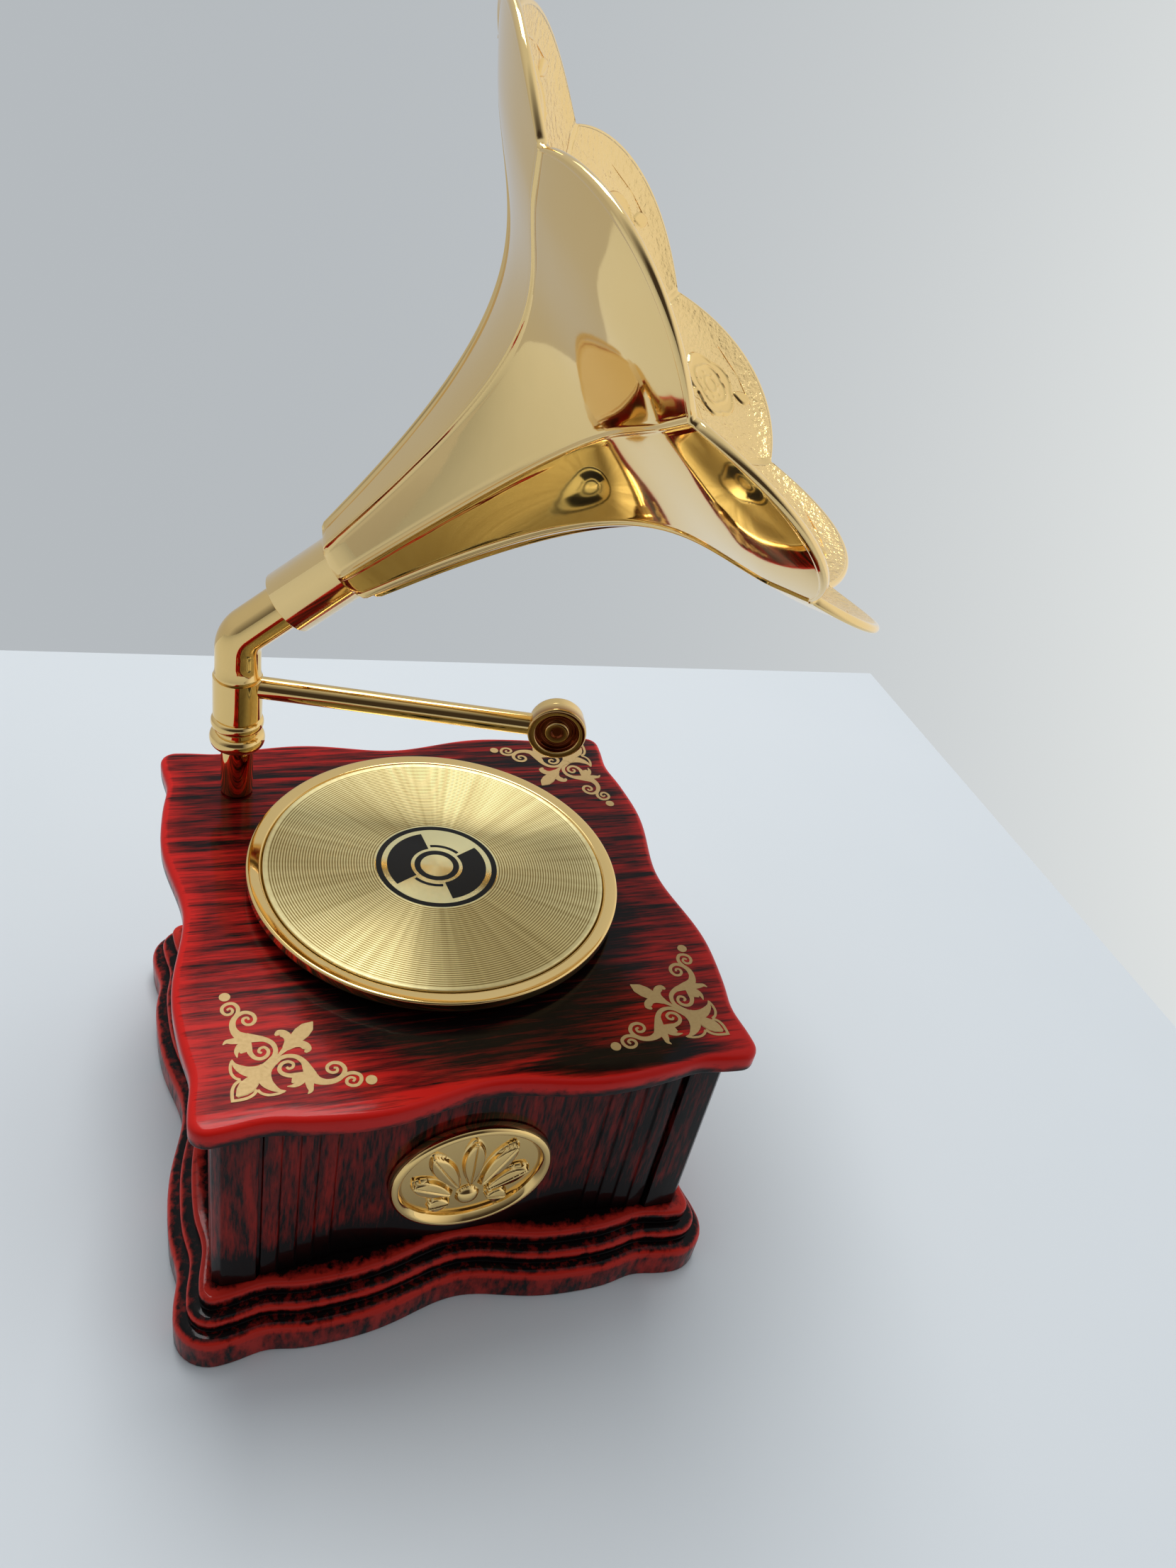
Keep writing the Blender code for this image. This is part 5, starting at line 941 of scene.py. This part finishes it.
def lamp(name, place, target, size, power):
    """A square soft box at place, in metres, that looks at target."""
    light = bpy.data.lights.new(name, "AREA")
    light.size, light.energy = size, power
    made = bpy.data.objects.new(name, light)
    back = np.array(place) - np.array(target)
    back /= np.linalg.norm(back)
    side = np.cross((0, 0, 1), back)
    side /= np.linalg.norm(side)
    up = np.cross(back, side)
    made.matrix_world = Matrix([[side[k], up[k], back[k], place[k]] for k in range(3)] + [[0, 0, 0, 1]])
    bpy.context.scene.collection.objects.link(made)


# White paper board: matt, a little cool, with a faint cloudiness
BOARD = plain_finish("white card", ("#CFD5D9", "#D5DADE"), (0.75, 0.85), 90.0, 0.0)
plane("floor", [(-1.5, -1.8, 0.0), (0.2085, -1.8, 0.0), (0.2275, 0.178, 0.0), (-1.5, 0.30, 0.0)], BOARD)

# The room: the camera sees a plain wall that brightens to the right. The object mirrors a room that is paler
# overhead, dark in front and lit from the right.
world = bpy.data.worlds.new("studio")
bpy.context.scene.world = world
world.use_nodes = True
tree = world.node_tree
tree.nodes.clear()
axes = tree.nodes.new("ShaderNodeSeparateXYZ")
tree.links.new(tree.nodes.new("ShaderNodeTexCoord").outputs["Generated"], axes.inputs[0])
side_share = put(tree, "ShaderNodeMapRange", {0: axes.outputs["X"], 1: -0.3, 2: 0.75})
side_share = put(tree, "ShaderNodeMath", {0: side_share, 1: 4.0}, operation="POWER")
wall_tone = put(tree, "ShaderNodeMix", {0: side_share, 6: linear("#B5BABE"), 7: linear("#E2E5E4")},
                data_type="RGBA")
room_tone = linear("#B9BCC0")
for axis, start, end, tone in (("Z", 0.0, 0.9, "#D1D6DA"), ("Y", -0.15, -0.75, "#3E3836"),
                               ("X", 0.25, 0.85, "#F2F4F6")):
    share = put(tree, "ShaderNodeMapRange", {0: axes.outputs[axis], 1: start, 2: end})
    room_tone = put(tree, "ShaderNodeMix", {0: share, 6: room_tone, 7: linear(tone)}, data_type="RGBA")
ray = tree.nodes.new("ShaderNodeLightPath")
shown = put(tree, "ShaderNodeMix", {0: ray.outputs["Is Camera Ray"], 6: room_tone, 7: wall_tone},
            data_type="RGBA")
put(tree, "ShaderNodeOutputWorld", {"Surface": put(tree, "ShaderNodeBackground", {"Color": shown})})

lamp("ceiling_soft_box", (0.06, 0.36, 1.12), (0.0, 0.0, 0.05), 0.50, 7.1)
lamp("window_strip", (0.0, 0.62, 0.94), (0.0, 0.0, 0.06), 0.25, 0.30)

# The camera: its lens, the ways to its right, down and ahead, and its place in metres
camera_data = bpy.data.cameras.new("camera")
camera_data.lens = 27.41
camera_data.sensor_width = 36.0
camera_data.clip_start = 0.01
camera = bpy.data.objects.new("camera", camera_data)
right = (0.93519999, -0.30497039, 0.17998347)
down = (-0.04753507, -0.611768, -0.78960771)
ahead = (0.3509151, 0.72988559, -0.58662221)
spot = (-0.0553188, -0.1725655, 0.2310088)
camera.matrix_world = Matrix([[right[k], -down[k], -ahead[k], spot[k]] for k in range(3)] + [[0, 0, 0, 1]])
bpy.context.scene.collection.objects.link(camera)
bpy.context.scene.camera = camera
bpy.context.scene.view_settings.view_transform = "Standard"
